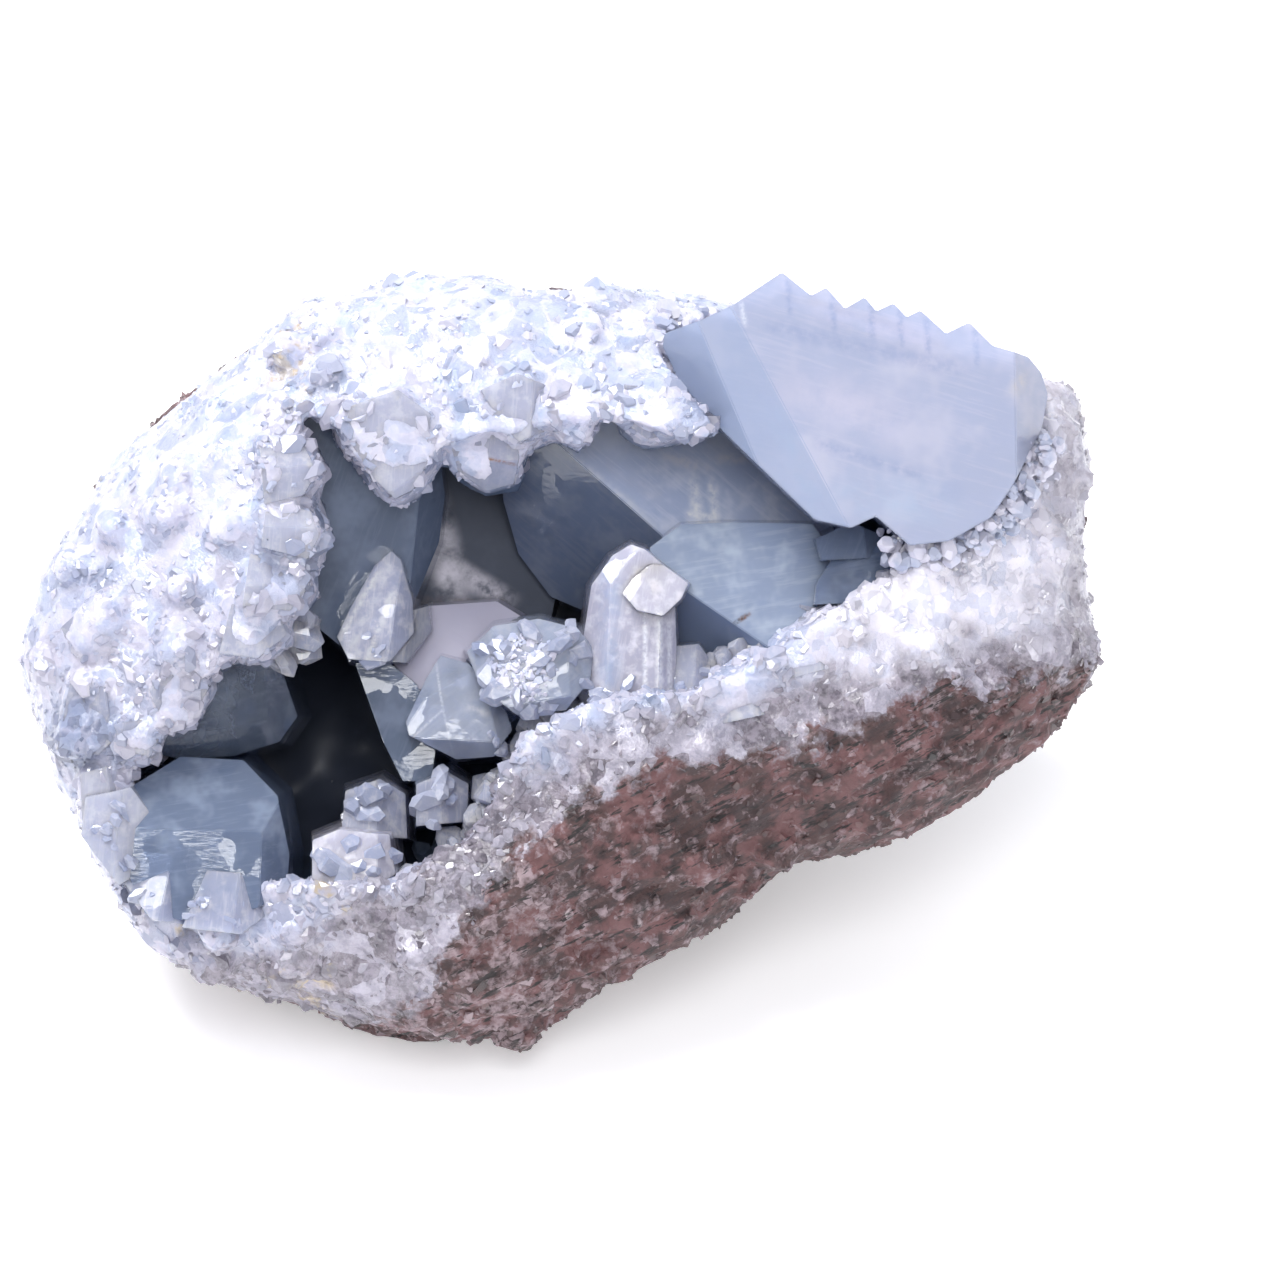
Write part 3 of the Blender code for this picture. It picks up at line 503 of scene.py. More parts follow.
class Clarity(Enum):
    """The kinds of celestite in the hollow and on its rim, each with its finish."""

    SLATE = ClearFinish("slate_celestite", "68768F", "8B98B2", 0.4, side="8290AA", streak_turn=70.0)
    # Painted light: the first veil lightens the upper band, the second is a highlight along the ridge, the E2E3EE
    # patches are reflections and the FAFBFF streaks are glints; the third veil is milky.
    BLUE = ClearFinish(
        "blue_celestite", "B6C3E2", "E0E6F8", 0.25, density=33.0, streak=0.45, side="42526F",
        veils=(Veil((-2.0, 20.6), (20.0, 19.0), 3.8, 1.0, "DEE4F4"), Veil((-0.8, 19.3), (8.9, 10.8), 0.9, 0.9, "E4E8F2"),
               Veil((1.5, 18.5), (10.5, 13.0), 1.4, 0.4), Veil((9.0, 17.8), (13.8, 16.4), 0.9, 1.0, "E2E3EE"),
               Veil((13.4, 17.6), (17.0, 17.6), 0.8, 1.0, "E2E3EE"), Veil((11.6, 15.9), (12.2, 10.9), 0.9, 1.0, "FAFBFF"),
               Veil((13.2, 15.6), (13.6, 11.4), 0.7, 1.0, "FAFBFF"), Veil((11.0, 12.8), (14.2, 12.2), 0.5, 1.0, "FAFBFF")))
    TEAL = ClearFinish(
        "teal_celestite", "8F9EBC", "C4D0E2", 0.4, facets=0.04, side="8493B0", milky=0.4, streak_turn=10.0,
        veils=(Veil((13.4, 2.0), (16.5, 4.1), 0.3, 1.0, "3E3A38"), Veil((15.6, 3.5), (16.7, 4.2), 0.35, 1.0, "8A5A3A")))
    PALE_BLUE = ClearFinish("pale_blue_celestite", "5F7092", "A0AFCA", 0.55, facets=0.05, side="61718F",
                            milky=0.5, streak_turn=10.0)
    GLASSY = ClearFinish(
        "glassy_celestite", "B4B9D2", "DEDFEC", 0.5, 0.05, 1.2, depth_colour="A9B6DC", density=20.0, facets=0.08,
        facet_size=1.2, side="8F98B4", milky=0.7, streak=0.6, streak_turn=85.0,
        veils=(Veil((-18.4, -0.4), (-14.4, 8.8), 1.0, 1.0, "EAEAF4"), Veil((-16.6, -0.4), (-14.0, 6.6), 0.5, 1.0, "F4F4FA"),
               Veil((-18.6, 2.2), (-15.4, 7.8), 0.4, 1.0, "F4F4FA"), Veil((-6.2, 17.3), (-3.4, 16.7), 0.25, 1.0, "B4835F"),
               # the pure white veil at x 1.2 is a painted glint on a hanging crystal
               Veil((1.2, 21.6), (1.3, 18.6), 1.3, 1.0, "FFFFFF"), Veil((-41.5, -4.6), (-37.5, -5.6), 2.6, 0.9, "8690AC"),
               Veil((-36.0, -18.0), (-24.0, -21.0), 3.0, 0.7, "9CA8C6"), Veil((-38.4, -17.0), (-37.6, -12.0), 3.0, 0.6, "A4AECA")))
    FROSTED = ClearFinish(
        "frosted_celestite", "B6B5C6", "DEDCE8", 0.3, 0.1, 1.4, density=0.0, facets=0.12, facet_size=0.8,
        side="B4B5C9", milky=0.8, streak_turn=80.0,
        veils=(Veil((8.6, 4.4), (8.6, -4.4), 0.5, 1.0, "FAFAFE"), Veil((7.4, 4.4), (7.4, -3.4), 0.35, 1.0, "F4F5FC"),
               Veil((9.5, 3.4), (9.5, -4.4), 0.35, 0.9, "F4F5FC"), Veil((4.4, 8.6), (4.2, -4.0), 1.7, 0.8, "A6B4CE")))
    SHELL = ClearFinish(
        "clear_celestite", "B4BFD8", "CDD3E4", 0.6, 0.03, 1.6, depth_colour="A9B6DC", density=15.0, facets=0.06,
        side="8F9CBA", milky=0.4, streak=0.5, streak_turn=40.0, veils=(
            Veil((-12.6, -3.6), (-6.6, -5.2), 5.0, 0.8, "7F8DAC"), Veil((-4.6, -0.2), (-1.4, -2.4), 2.6, 1.0, "F1EFF6"), Veil((-3.6, 1.6), (-0.6, 0.6), 1.6, 1.0, "F1EFF6"),
            # the thin pale lines from the corner at x -9.9 are painted highlights along edges
            Veil((-10.6, 0.0), (-9.9, -4.2), 0.2, 1.0, "EDF0FA"), Veil((-9.9, -4.2), (-12.6, -6.7), 0.2, 1.0, "EDF0FA"),
            Veil((-9.9, -4.2), (-9.0, -8.3), 0.18, 1.0, "DDE2F0"), Veil((-7.9, -4.0), (-5.4, -4.8), 0.6, 1.0, "EDF0FA"),
            Veil((-8.2, -6.6), (-6.0, -7.2), 0.35, 1.0, "EDF0FA"), Veil((-11.8, -1.8), (-12.2, -5.6), 1.2, 0.8, "7C8BA8"),
            Veil((-9.2, -0.4), (-8.0, -3.2), 1.8, 0.8, "7C8BA8"), Veil((-11.2, -7.0), (-5.0, -6.0), 1.2, 0.6, "8896B2")))
    KNOT = ClearFinish(
        "glassy_knot_celestite", "AEB7D4", "D6D9EA", 0.5, 0.12, 0.9, density=0.0,
        facets=0.0, milky=0.0, side="9CA5C2", streak=0.3, soft=0.4)
    # a dark sheet of painted shade far inside the hollow, with pale patches of painted light on it
    FAR_SHADE_AND_LIGHT = ClearFinish(
        "shaded_and_lit_crystal_far_inside", "323A4C", "3A4254", 0.0, 0.5, facets=0.0, side="323A4C", streak=0.0,
        veils=(Veil((-11.6, 14.4), (-8.6, 3.0), 2.3, 1.0, "E2DEE8"), Veil((-10.6, 8.8), (-3.4, 4.4), 1.5, 1.0, "CFCBD6"),
               Veil((-13.0, 5.2), (-4.0, 5.0), 0.7, 0.6, "62585C")))
    LAVENDER = ClearFinish("lavender_celestite", "BFBCD0", "C6C3D4", 0.2, 0.22, side="8E8CA2", streak=0.1)
    SMOKY = ClearFinish("smoky_celestite", "5A667F", "8D98AC", 0.7, density=90.0, facets=0.08, streak=0.5,
                        streak_turn=20.0)


@dataclass(frozen=True)
class WispFinish:
    """Healed cracks inside a crystal: white, ragged and half clear."""

    white: str = "F2F2FA"

    def material(self):
        """The finish as a material."""
        paint = Paint("healed_cracks_in_celestite")
        holes = paint.between(paint.speckle(0.5, 3.0, 0.7), 0.38, 0.62)
        settings = {"Base Color": self.white, "Roughness": 0.3, "IOR": 1.62}
        return paint.finish(settings, {"Alpha": holes})


def plain_shares(count: int) -> dict:
    """Shares of small crystals that grow on a larger one, away from rock and stains."""
    return {key: np.zeros(count) for key in LOOKS}


def unit(vectors: Points) -> Points:
    """The vectors at length one."""
    vectors = np.asarray(vectors, float)
    return vectors / np.linalg.norm(vectors, axis=-1, keepdims=True)


def add_shares(mesh, drawing: Points, shares: dict | None, outward: Points | None = None) -> None:
    """Write a mesh's drawing points, its shares and the stone's normals as attributes."""
    for key, vectors in {"drawing": drawing, "outward": outward}.items():
        if vectors is not None:
            layer = mesh.attributes.new(key, "FLOAT_VECTOR", "POINT")
            layer.data.foreach_set("vector", np.asarray(vectors, np.float32).ravel())
    for key, values in (shares or {}).items():
        layer = mesh.attributes.new(key, "FLOAT", "POINT")
        layer.data.foreach_set("value", np.asarray(values, np.float32))


def mark_shaded_sides(mesh, facing: tuple[float, float, float]) -> None:
    """Note on each face how far it faces one way of the drawing, from 0 to 1, for a tint that paints light and shade by
    facing.
    """
    normals = np.zeros(len(mesh.polygons) * 3)
    mesh.polygons.foreach_get("normal", normals)
    share = normals.reshape(-1, 3) @ ATTITUDE.turning() @ unit(facing)
    layer = mesh.attributes.new("side", "FLOAT", "FACE")
    layer.data.foreach_set("value", soft_step(share, 0.15, 0.75).astype(np.float32))


def mesh_object(name: str, drawing: Points, faces: list, shares: dict | None = None,
                outward: Points | None = None, sides: tuple | None = None):
    """Make an object from drawing points.

    Args:
        name: the piece's name.
        drawing: corner points of the drawing, in millimetres.
        faces: corner numbers of each face.
        shares: values for each point, by attribute name.
        outward: the stone's normal at each point, in the part's frame, if it is needed.
        sides: direction of the drawing whose faces are marked for painted shade, if it is needed.

    Returns:
        The object, in the part's frame.
    """
    low, high = BOX
    mesh = bpy.data.meshes.new(name)
    mesh.from_pydata(np.clip(ATTITUDE.to_part(drawing), low, high).tolist(), [], faces)
    add_shares(mesh, drawing, shares, outward)
    if sides:
        mark_shaded_sides(mesh, sides)
    mesh.update()
    thing = bpy.data.objects.new(name, mesh)
    bpy.context.scene.collection.objects.link(thing)
    return thing


def finish_piece(thing, material, slot: str, *replaced: str) -> None:
    """Dress a piece, let it ride on the stone and log it.

    Args:
        thing: the piece.
        material: its material.
        slot: the record's material slot; not used.
        replaced: CAD nodes that it stands for.
    """
    thing.data.materials.clear()
    thing.data.materials.append(material)
    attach(thing, "root")
    if replaced:
        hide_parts(*replaced)
    log.info("%s: %d faces", thing.name, len(thing.data.polygons))


def convex_corners(planes: Planes) -> Points:
    """Corners of the convex body bounded by (outward normal, distance) planes."""
    normals = np.array([normal for normal, _ in planes])
    distances = np.array([distance for _, distance in planes])
    triples = np.array(list(combinations(range(len(planes)), 3)))
    systems = normals[triples]
    solvable = np.abs(np.linalg.det(systems)) > 1e-4
    points = np.linalg.solve(systems[solvable], distances[triples[solvable]][..., None])[..., 0]
    inside = (points @ normals.T <= distances + 1e-5).all(axis=1)
    corners: list = []
    for point in points[inside]:
        if all(np.linalg.norm(point - other) > 0.02 for other in corners):
            corners.append(point)
    return np.array(corners)


def convex_form(planes: Planes, bevel: float = 0.0) -> tuple[Points, list]:
    """Convex body bounded by planes, with its edges rounded off.

    Args:
        planes: (outward normal, distance) of each face.
        bevel: width of the rounding.

    Returns:
        Points and faces.
    """
    form = bmesh.new()
    for corner in convex_corners(planes):
        form.verts.new(corner)
    bmesh.ops.convex_hull(form, input=form.verts)
    bmesh.ops.dissolve_limit(form, angle_limit=math.radians(0.5), verts=form.verts, edges=form.edges)
    if bevel:
        bmesh.ops.bevel(form, geom=form.edges[:], offset=bevel, segments=2, affect="EDGES", clamp_overlap=True)
    bmesh.ops.recalc_face_normals(form, faces=form.faces)
    form.verts.index_update()
    points = np.array([vert.co for vert in form.verts])
    faces = [[vert.index for vert in face.verts] for face in form.faces]
    form.free()
    return points, faces


@dataclass(frozen=True)
class Crystal:
    """A crystal drawn by its front face, as (x, z) corners anticlockwise.

    The face lies at depth front and falls back by slope_x and slope_z for each millimetre
    right and up. The sides open out by flare for each millimetre of depth. Each bevel is
    (x1, z1, x2, z2, spread): right of that line the body falls away, spread millimetres
    sideways for each millimetre of depth.
    """

    face: tuple
    front: float
    back: float
    slope_x: float = 0.0
    slope_z: float = 0.0
    flare: float = 0.05
    bevels: tuple = ()

    def depth(self, x: float, z: float) -> float:
        """Depth of the front face at x, z."""
        centre_x, centre_z = np.mean(self.face, axis=0)
        return self.front + self.slope_x * (x - centre_x) + self.slope_z * (z - centre_z)

    def surface(self, spots: Points) -> tuple[Points, Points]:
        """Points of the crystal's front at the given spots, and the directions out of it there."""
        planes = [(normal, reach) for normal, reach in self.planes() if normal[1] < -0.05]
        depths = np.array([(reach - spots @ normal[[0, 2]]) / normal[1] for normal, reach in planes])
        facing = np.array([normal for normal, _ in planes])[depths.argmax(axis=0)]
        return np.column_stack((spots[:, 0], depths.max(axis=0), spots[:, 1])), facing

    def planes(self) -> Planes:
        """Every face as (outward normal, distance), the body being on the inner side."""
        base = np.array([self.face[0][0], self.depth(*self.face[0]), self.face[0][1]])
        facing = unit((self.slope_x, -1.0, self.slope_z))
        result = [(facing, float(facing @ base)), (np.array((0.0, 1.0, 0.0)), self.back)]
        sides = [(*a, *b, self.flare) for a, b in zip(self.face, self.face[1:] + self.face[:1])]
        for x1, z1, x2, z2, spread in (*sides, *self.bevels):
            start = np.array((x1, self.depth(x1, z1), z1))
            along = np.array((x2, self.depth(x2, z2), z2)) - start
            outward = unit((z2 - z1, 0.0, x1 - x2))
            normal = unit(np.cross(along, outward * spread + np.array((0.0, 1.0, 0.0))))
            normal = -normal if normal @ outward < 0 else normal
            result.append((normal, float(normal @ start)))
        return result


def grown_together(name: str, crystals: tuple[Crystal, ...], bevel: float, seed: int):
    """Mesh of several crystals, each with its own tint.

    Args:
        name: the piece's name.
        crystals: the crystals.
        bevel: rounding of their edges, in millimetres.
        seed: seed of the tints.

    Returns:
        The object.
    """
    chance = random.Random(seed)
    points, faces, tints = [], [], []
    for crystal in crystals:
        corners, own = convex_form(crystal.planes(), bevel)
        start = sum(len(part) for part in points)
        faces += [[start + corner for corner in face] for face in own]
        points.append(corners)
        tints.append(np.full(len(corners), chance.random()))
    # faces turned down and left are marked for painted shade
    return mesh_object(name, np.vstack(points), faces, {"tint": np.concatenate(tints)}, sides=(-0.6, 0.0, -0.8))


class Habit(Enum):
    """Ways that small celestite crystals grow, as the reach of their c, m, d and o faces."""

    BLOCKY = (0.75, 1.0, 0.95, 0.9)
    CHISEL = (0.55, 1.25, 1.15, 0.8)
    GRAIN = (0.8, 1.0, 0.95, 0.0)


def habit_forms(habit: Habit, seed: int, count: int = 9) -> list[tuple[Points, list]]:
    """Forms of a habit that differ a little, each about one across with its tip along z.

    Args:
        habit: which faces reach how far.
        seed: seed of the differences.
        count: how many forms.

    Returns:
        Points and faces of each form.
    """
    chance = random.Random(seed)
    prism, dome, side_dome = math.radians(37.9), math.radians(39.4), math.radians(52.0)
    basal, long_faces, dome_faces, side_faces = habit.value
    forms = []
    for _ in range(count):
        directions = [((0, 1, 0), basal)]
        directions += [((sign * math.sin(prism), 0, math.cos(prism)), long_faces) for sign in (1, -1)]
        directions += [((0, sign * math.cos(dome), math.sin(dome)), dome_faces) for sign in (1, -1)]
        directions += [((sign * math.sin(side_dome), math.cos(side_dome), 0), side_faces) for sign in (1, -1)]
        planes = []
        for direction, reach in directions:
            for side in (1, -1) if reach else ():
                planes.append((unit(side * np.array(direction, float)), 0.5 * reach * chance.uniform(0.75, 1.25)))
        forms.append(convex_form(planes))
    return forms


@dataclass(frozen=True)
class Sowing:
    """Small crystals sown over a surface: how many, how large and how they stand."""

    name: str
    slot: str
    count: int
    size: tuple[float, float]
    habit: Habit
    seed: int
    tilt: float = 0.45
    sunk: float = 0.15
    squeeze: float = 0.25

    def grow(self, sites: Points, outward: Points, chances: Points, shares: dict):
        """Sow the crystals.

        Args:
            sites: points of the surface, in the drawing.
            outward: direction out of the surface at each site.
            chances: how likely each site is to be taken.
            shares: the sites' attributes, which their crystals take on.

        Returns:
            The crystals as one object.
        """
        picks = np.random.default_rng(self.seed)
        count = min(self.count, int((chances > 0).sum()))
        chosen = picks.choice(len(sites), count, replace=False, p=chances / chances.sum())
        sizes = self.size[0] + (self.size[1] - self.size[0]) * picks.random(count) ** 2
        tips = unit(outward[chosen] + picks.normal(0, self.tilt, (count, 3)))
        sides = unit(np.cross(tips, picks.normal(0, 1, (count, 3))))
        axes = np.stack((sides, np.cross(tips, sides), tips), axis=2)
        stretch = sizes[:, None] * (1 + picks.uniform(-self.squeeze, self.squeeze, (count, 3)))
        centres = sites[chosen] - outward[chosen] * (sizes * self.sunk)[:, None]
        forms = habit_forms(self.habit, self.seed)
        kinds = picks.integers(0, len(forms), count)
        points, faces, owners, start = [], [], [], 0
        for kind, (corners, own) in enumerate(forms):
            members = np.flatnonzero(kinds == kind)
            local = corners[None] * stretch[members][:, None, :]
            points.append((local @ axes[members].transpose(0, 2, 1) + centres[members][:, None, :]).reshape(-1, 3))
            for number in range(len(members)):
                base = start + number * len(corners)
                faces += [[base + corner for corner in face] for face in own]
            owners.append(np.repeat(chosen[members], len(corners)))
            start += len(corners) * len(members)
        owners = np.concatenate(owners)
        tints = picks.random(len(sites))[owners]
        own_shares = {key: values[owners] for key, values in shares.items()}
        turned = outward[owners] @ ATTITUDE.turning().T
        return mesh_object(self.name, np.vstack(points), faces, {**own_shares, "tint": tints}, turned)


def speck(point: Points, size: float, shift: float = 0.0) -> float:
    """Smooth noise from -1 to 1 at a point, with features of a size in millimetres."""
    return noise.noise(Vector(point / size) + Vector((shift, 1.7 * shift, 0.6 * shift)))


def specks(points: Points, size: float, shift: float = 0.0) -> Points:
    """Smooth noise at many points."""
    return np.array([speck(point, size, shift) for point in points])


def soft_step(values: Points, low: float, high: float) -> Points:
    """Rise softly from 0 at low to 1 at high, which may be the smaller."""
    share = np.clip((values - low) / (high - low), 0, 1)
    return share * share * (3 - 2 * share)


def smooth_loop(points: Points, steps: int) -> Points:
    """Points of a closed Catmull-Rom curve through the given points."""
    loop = np.array(points, float)
    before, after, beyond = (np.roll(loop, -places, axis=0) for places in (-1, 1, 2))
    slope, bend = after - before, 2 * before - 5 * loop + 4 * after - beyond
    twist = 3 * loop - before - 3 * after + beyond
    shares = [step / steps for step in range(steps)]
    parts = [loop + (slope * t + bend * t**2 + twist * t**3) / 2 for t in shares]
    return np.stack(parts, axis=1).reshape(-1, 2)


def inside_loop(spots: Points, loop: Points) -> Points:
    """Which of the spots lie inside a closed loop in the face plane."""
    ends = np.roll(loop, -1, axis=0)
    x, z = spots[:, :1], spots[:, 1:]
    crossing = (loop[:, 1] > z) != (ends[:, 1] > z)
    rise = np.where(crossing, ends[:, 1] - loop[:, 1], 1.0)
    crossed_at = loop[:, 0] + (z - loop[:, 1]) / rise * (ends[:, 0] - loop[:, 0])
    return np.count_nonzero(crossing & (crossed_at > x), axis=1) % 2 == 1


def from_loop(spots: Points, loop: Points) -> Points:
    """Distance of each spot from the nearest point of a loop."""
    tree = kdtree.KDTree(len(loop))
    for number, (x, z) in enumerate(loop):
        tree.insert((x, z, 0), number)
    tree.balance()
    return np.array([tree.find((x, z, 0))[2] for x, z in spots])


@dataclass
class StoneWall:
    """The stone itself: host rock with the massive and the sugary celestite grown on it."""

    voxel: float = 0.58
    facet_spacing: float = 2.2
    facet_height: float = 0.6
    facet_slope: float = 0.6
    ledge: float = 1.9
    ledge_height: float = 0.55
    strata_angle: float = 27.0
    lump_height: float = 0.45
    flat_spot_margin: float = 1.2
    mouth: tuple = (
        (-21.7, 21.0), (-22.6, 13.9), (-20.9, 10.0), (-22.2, 5.2), (-25.2, 1.7), (-31.7, -2.6),
        (-35.8, -8.3), (-35.9, -15.0), (-32.9, -19.4), (-23.5, -18.8), (-13.9, -19.1), (-7.0, -14.8),
        (-2.6, -6.5), (3.5, -3.5), (12.2, -2.6), (19.1, 0.9), (24.3, 4.4), (30.4, 8.7), (35.0, 9.6),
        (33.0, 14.5), (24.0, 17.0), (14.5, 19.4), (9.6, 19.5), (3.5, 20.8), (-5.2, 19.6),
        (-10.2, 18.3), (-13.9, 16.5), (-17.8, 19.6),
    )
    rock_edge: tuple = (
        (-46.0, -40.0), (-12.0, -30.0), (-7.0, -22.0), (-3.5, -16.5), (3.5, -11.3), (12.0, -9.6),
        (17.4, -8.9), (22.6, -7.5), (27.8, -4.8), (36.0, -2.6), (46.0, -1.6),
    )
    shade_edge: tuple = (
        (-46.0, -26.0), (-30.0, -25.0), (-22.0, -23.5), (-14.0, -19.5), (-4.0, -10.0), (4.0, -5.4), (12.0, -4.0),
        (20.0, -2.0), (26.0, 0.6), (32.0, 1.0), (44.0, 3.0),
    )
    blue_spots: tuple = ((-40.0, -5.4, 4.6), (-39.0, 7.0, 2.0))
    stain_spots: tuple = ((-33.5, -21.5, 2.5), (-17.9, -20.4, 2.5), (-22.6, -27.4, 3.0), (-22.5, 26.0, 4.0))

    def fine_mesh(self):
        """Closed mesh of even, small faces over the CAD stone, with its cut facets worn soft."""
        thing = bpy.data.objects.new("stone_wall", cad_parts["geode_wall"].data.copy())
        bpy.context.scene.collection.objects.link(thing)
        remesh = thing.modifiers.new("fine_mesh", "REMESH")
        remesh.mode, remesh.voxel_size = "VOXEL", self.voxel * MM
        soften = thing.modifiers.new("soften", "SMOOTH")
        soften.factor, soften.iterations = 0.5, 5
        bpy.context.view_layer.update()
        found = thing.evaluated_get(bpy.context.evaluated_depsgraph_get())
        mesh = bpy.data.meshes.new_from_object(found)
        thing.modifiers.clear()
        thing.data = mesh
        return thing

    def facets(self, points: Points, seed: int) -> Points:
        """Height of a relief of crystal tips, each a low pyramid with its own slopes.

        Args:
            points: points of the surface, in millimetres.
            seed: seed of the tips.

        Returns:
            Height at each point, from 0 to 1.
        """
        picks = np.random.default_rng(seed)
        count = int(len(points) * (self.voxel / self.facet_spacing) ** 2)
        tips = points[picks.choice(len(points), count, replace=False)]
        slopes = unit(picks.normal(0, 1, (count, 4, 3))) * self.facet_slope * picks.uniform(0.5, 1.2, (count, 4, 1))
        tops = picks.uniform(0.5, 1.0, count) * self.facet_spacing
        tree = kdtree.KDTree(count)
        for number, tip in enumerate(tips):
            tree.insert(tip, number)
        tree.balance()
        near = np.array([[found[1] for found in tree.find_n(point, 4)] for point in points])
        aside = points[:, None] - tips[near]
        falls = np.einsum("ntsd,ntd->nts", slopes[near], aside).max(axis=2)
        heights = (tops[near] - falls).max(axis=1) / self.facet_spacing
        return np.clip(heights, -0.5, 1.3)

    def shares(self, drawing: Points, facing: Points) -> dict:
        """Where the stone is rock, hollow, blue or stained, and where shade and light are painted on it.

        Args:
            drawing: points of the surface.
            facing: direction out of it at each.

        Returns:
            Shares from 0 to 1 by attribute name.
        """
        x, y, z = drawing.T
        spots = drawing[:, (0, 2)]
        loop = smooth_loop(self.mouth, 4)
        within, off_edge = inside_loop(spots, loop), from_loop(spots, loop)
        wander = specks(drawing, 4.0) * 2.4 + specks(drawing, 1.6, 3.0) * 1.4
        line = np.interp(x, *np.array(self.rock_edge).T)
        below = soft_step(line - z + wander, -4.5, 3.5)
        behind = soft_step(y + wander * 1.3, 0.5, 7.0)
        dome = -17.0 * np.clip(1 - (np.abs(x + 1) / 47) ** 2.4 - (np.abs(z) / 33) ** 2.4, 0, 1) ** (1 / 2.4)
        aside = -(facing[:, 0] * (x + 6) + facing[:, 2] * (z - 4))
        inward = aside - facing[:, 1] * y > 0
        sunk = y - dome
        near = within | ((off_edge < 3.0) & (aside > 0) & (y < 18.5))
        hollow = np.where(near & inward, soft_step(sunk + wander * 0.4, 6.4, 10.5), 0.0)
        rock = np.maximum(below, behind) * (1 - hollow)
        blue = np.zeros(len(x))
        for spot_x, spot_z, size in self.blue_spots:
            blue = np.maximum(blue, soft_step(np.hypot(x - spot_x, z - spot_z) + wander, size, size * 0.5))
        stain = np.zeros(len(x))
        for spot_x, spot_z, size in self.stain_spots:
            stain = np.maximum(stain, soft_step(np.hypot(x - spot_x, z - spot_z) + wander, size, size * 0.4))
        stain = np.maximum(stain, 0.8 * soft_step(y, -1.0, 3.0))
        lip = np.where((off_edge < 3.0) & (sunk < 3.5) & (y < 0), 1.0, 0.0)
        # painted shade, in part: the lower front below the shade edge turns greyer, as do the left middle faintly and
        # the right end; part of it is the greyish band above the rock
        shade_edge = np.interp(x, *np.array(self.shade_edge).T)
        shaded_grey = soft_step(shade_edge - z + wander, -2.5, 2.5)
        shaded_grey = np.maximum(shaded_grey, 0.7 * soft_step(x + wander, 40.0, 45.0)) * (1 - hollow)
        shaded_grey = np.maximum(shaded_grey, 0.22 * soft_step(8.0 - z + wander, -4.0, 6.0) * soft_step(x, -10.0, -20.0))
        mixed = 0.02 + 0.12 * soft_step(x + z * 0.4 + wander * 2, 8.0, -16.0)
        # the share that whitens the right end is partly white sugar, partly painted light
        return {
            # the deep share is painted shade deeper in the hollow
            "rock": rock, "hollow": hollow, "deep": soft_step(y, 2.0, 12.0) * soft_step(z, 15.0, 8.0) * hollow,
            "blue": blue * (y < 0),
            "stain": stain, "lip": lip, "shaded_grey": shaded_grey, "mixed": mixed, "lit_snow": soft_step(x + wander, 18.0, 28.0),
        }

    def relief(self, drawing: Points, shares: dict) -> Points:
        """Height of the relief at each point, in millimetres."""
        angle = math.radians(self.strata_angle)
        across = drawing @ np.array((-math.sin(angle), 0.25, math.cos(angle)))
        along = drawing @ np.array((math.cos(angle), 0.0, math.sin(angle)))
        bend = specks(drawing, 6.0, 5.0) * 1.6
        steps = np.mod(across / self.ledge + bend + along * 0.02, 1.0)
        ledges = (np.minimum(steps / 0.75, (1 - steps) / 0.25) - 0.5) * self.ledge_height
        lumps = specks(drawing, 2.2, 7.0) * 0.7 + specks(drawing, 1.1, 8.0) * 0.6
        rough = ledges + lumps * self.lump_height
        tips = (self.facets(drawing, 4) - 0.6) * self.facet_height + specks(drawing, 4.0, 2.0) * 0.5
        inner = specks(drawing, 3.0, 4.0) * 0.3
        height = tips + (rough - tips) * shares["rock"]
        return height + (inner - height) * shares["hollow"]

    def build(self) -> None:
        """Build the wall and sow its crystals."""
        thing = self.fine_mesh()
        mesh = thing.data
        count = len(mesh.vertices)
        places, facings = np.zeros(count * 3), np.zeros(count * 3)
        mesh.vertices.foreach_get("co", places)
        mesh.vertex_normals.foreach_get("vector", facings)
        places, facings = places.reshape(-1, 3), facings.reshape(-1, 3)
        drawing = ATTITUDE.to_drawing(places)
        outward = facings @ ATTITUDE.turning()
        shares = self.shares(drawing, outward)
        height = self.relief(drawing, shares)
        height *= soft_step(places[:, 2] / MM, 0.05, self.flat_spot_margin)
        places = np.clip(places + facings * height[:, None] * MM, *BOX)
        mesh.vertices.foreach_set("co", places.ravel())
        mesh.shade_smooth()
        drawing = ATTITUDE.to_drawing(places)
        add_shares(mesh, drawing, {key: shares[key] for key in (*LOOKS, "hollow", "deep")})
        mesh.update()
        finish_piece(thing, StoneFinish().material(), "geode_wall", "geode_wall")
        above = places[:, 2] / MM > 1.5
        self.sow(drawing, outward, shares, above)

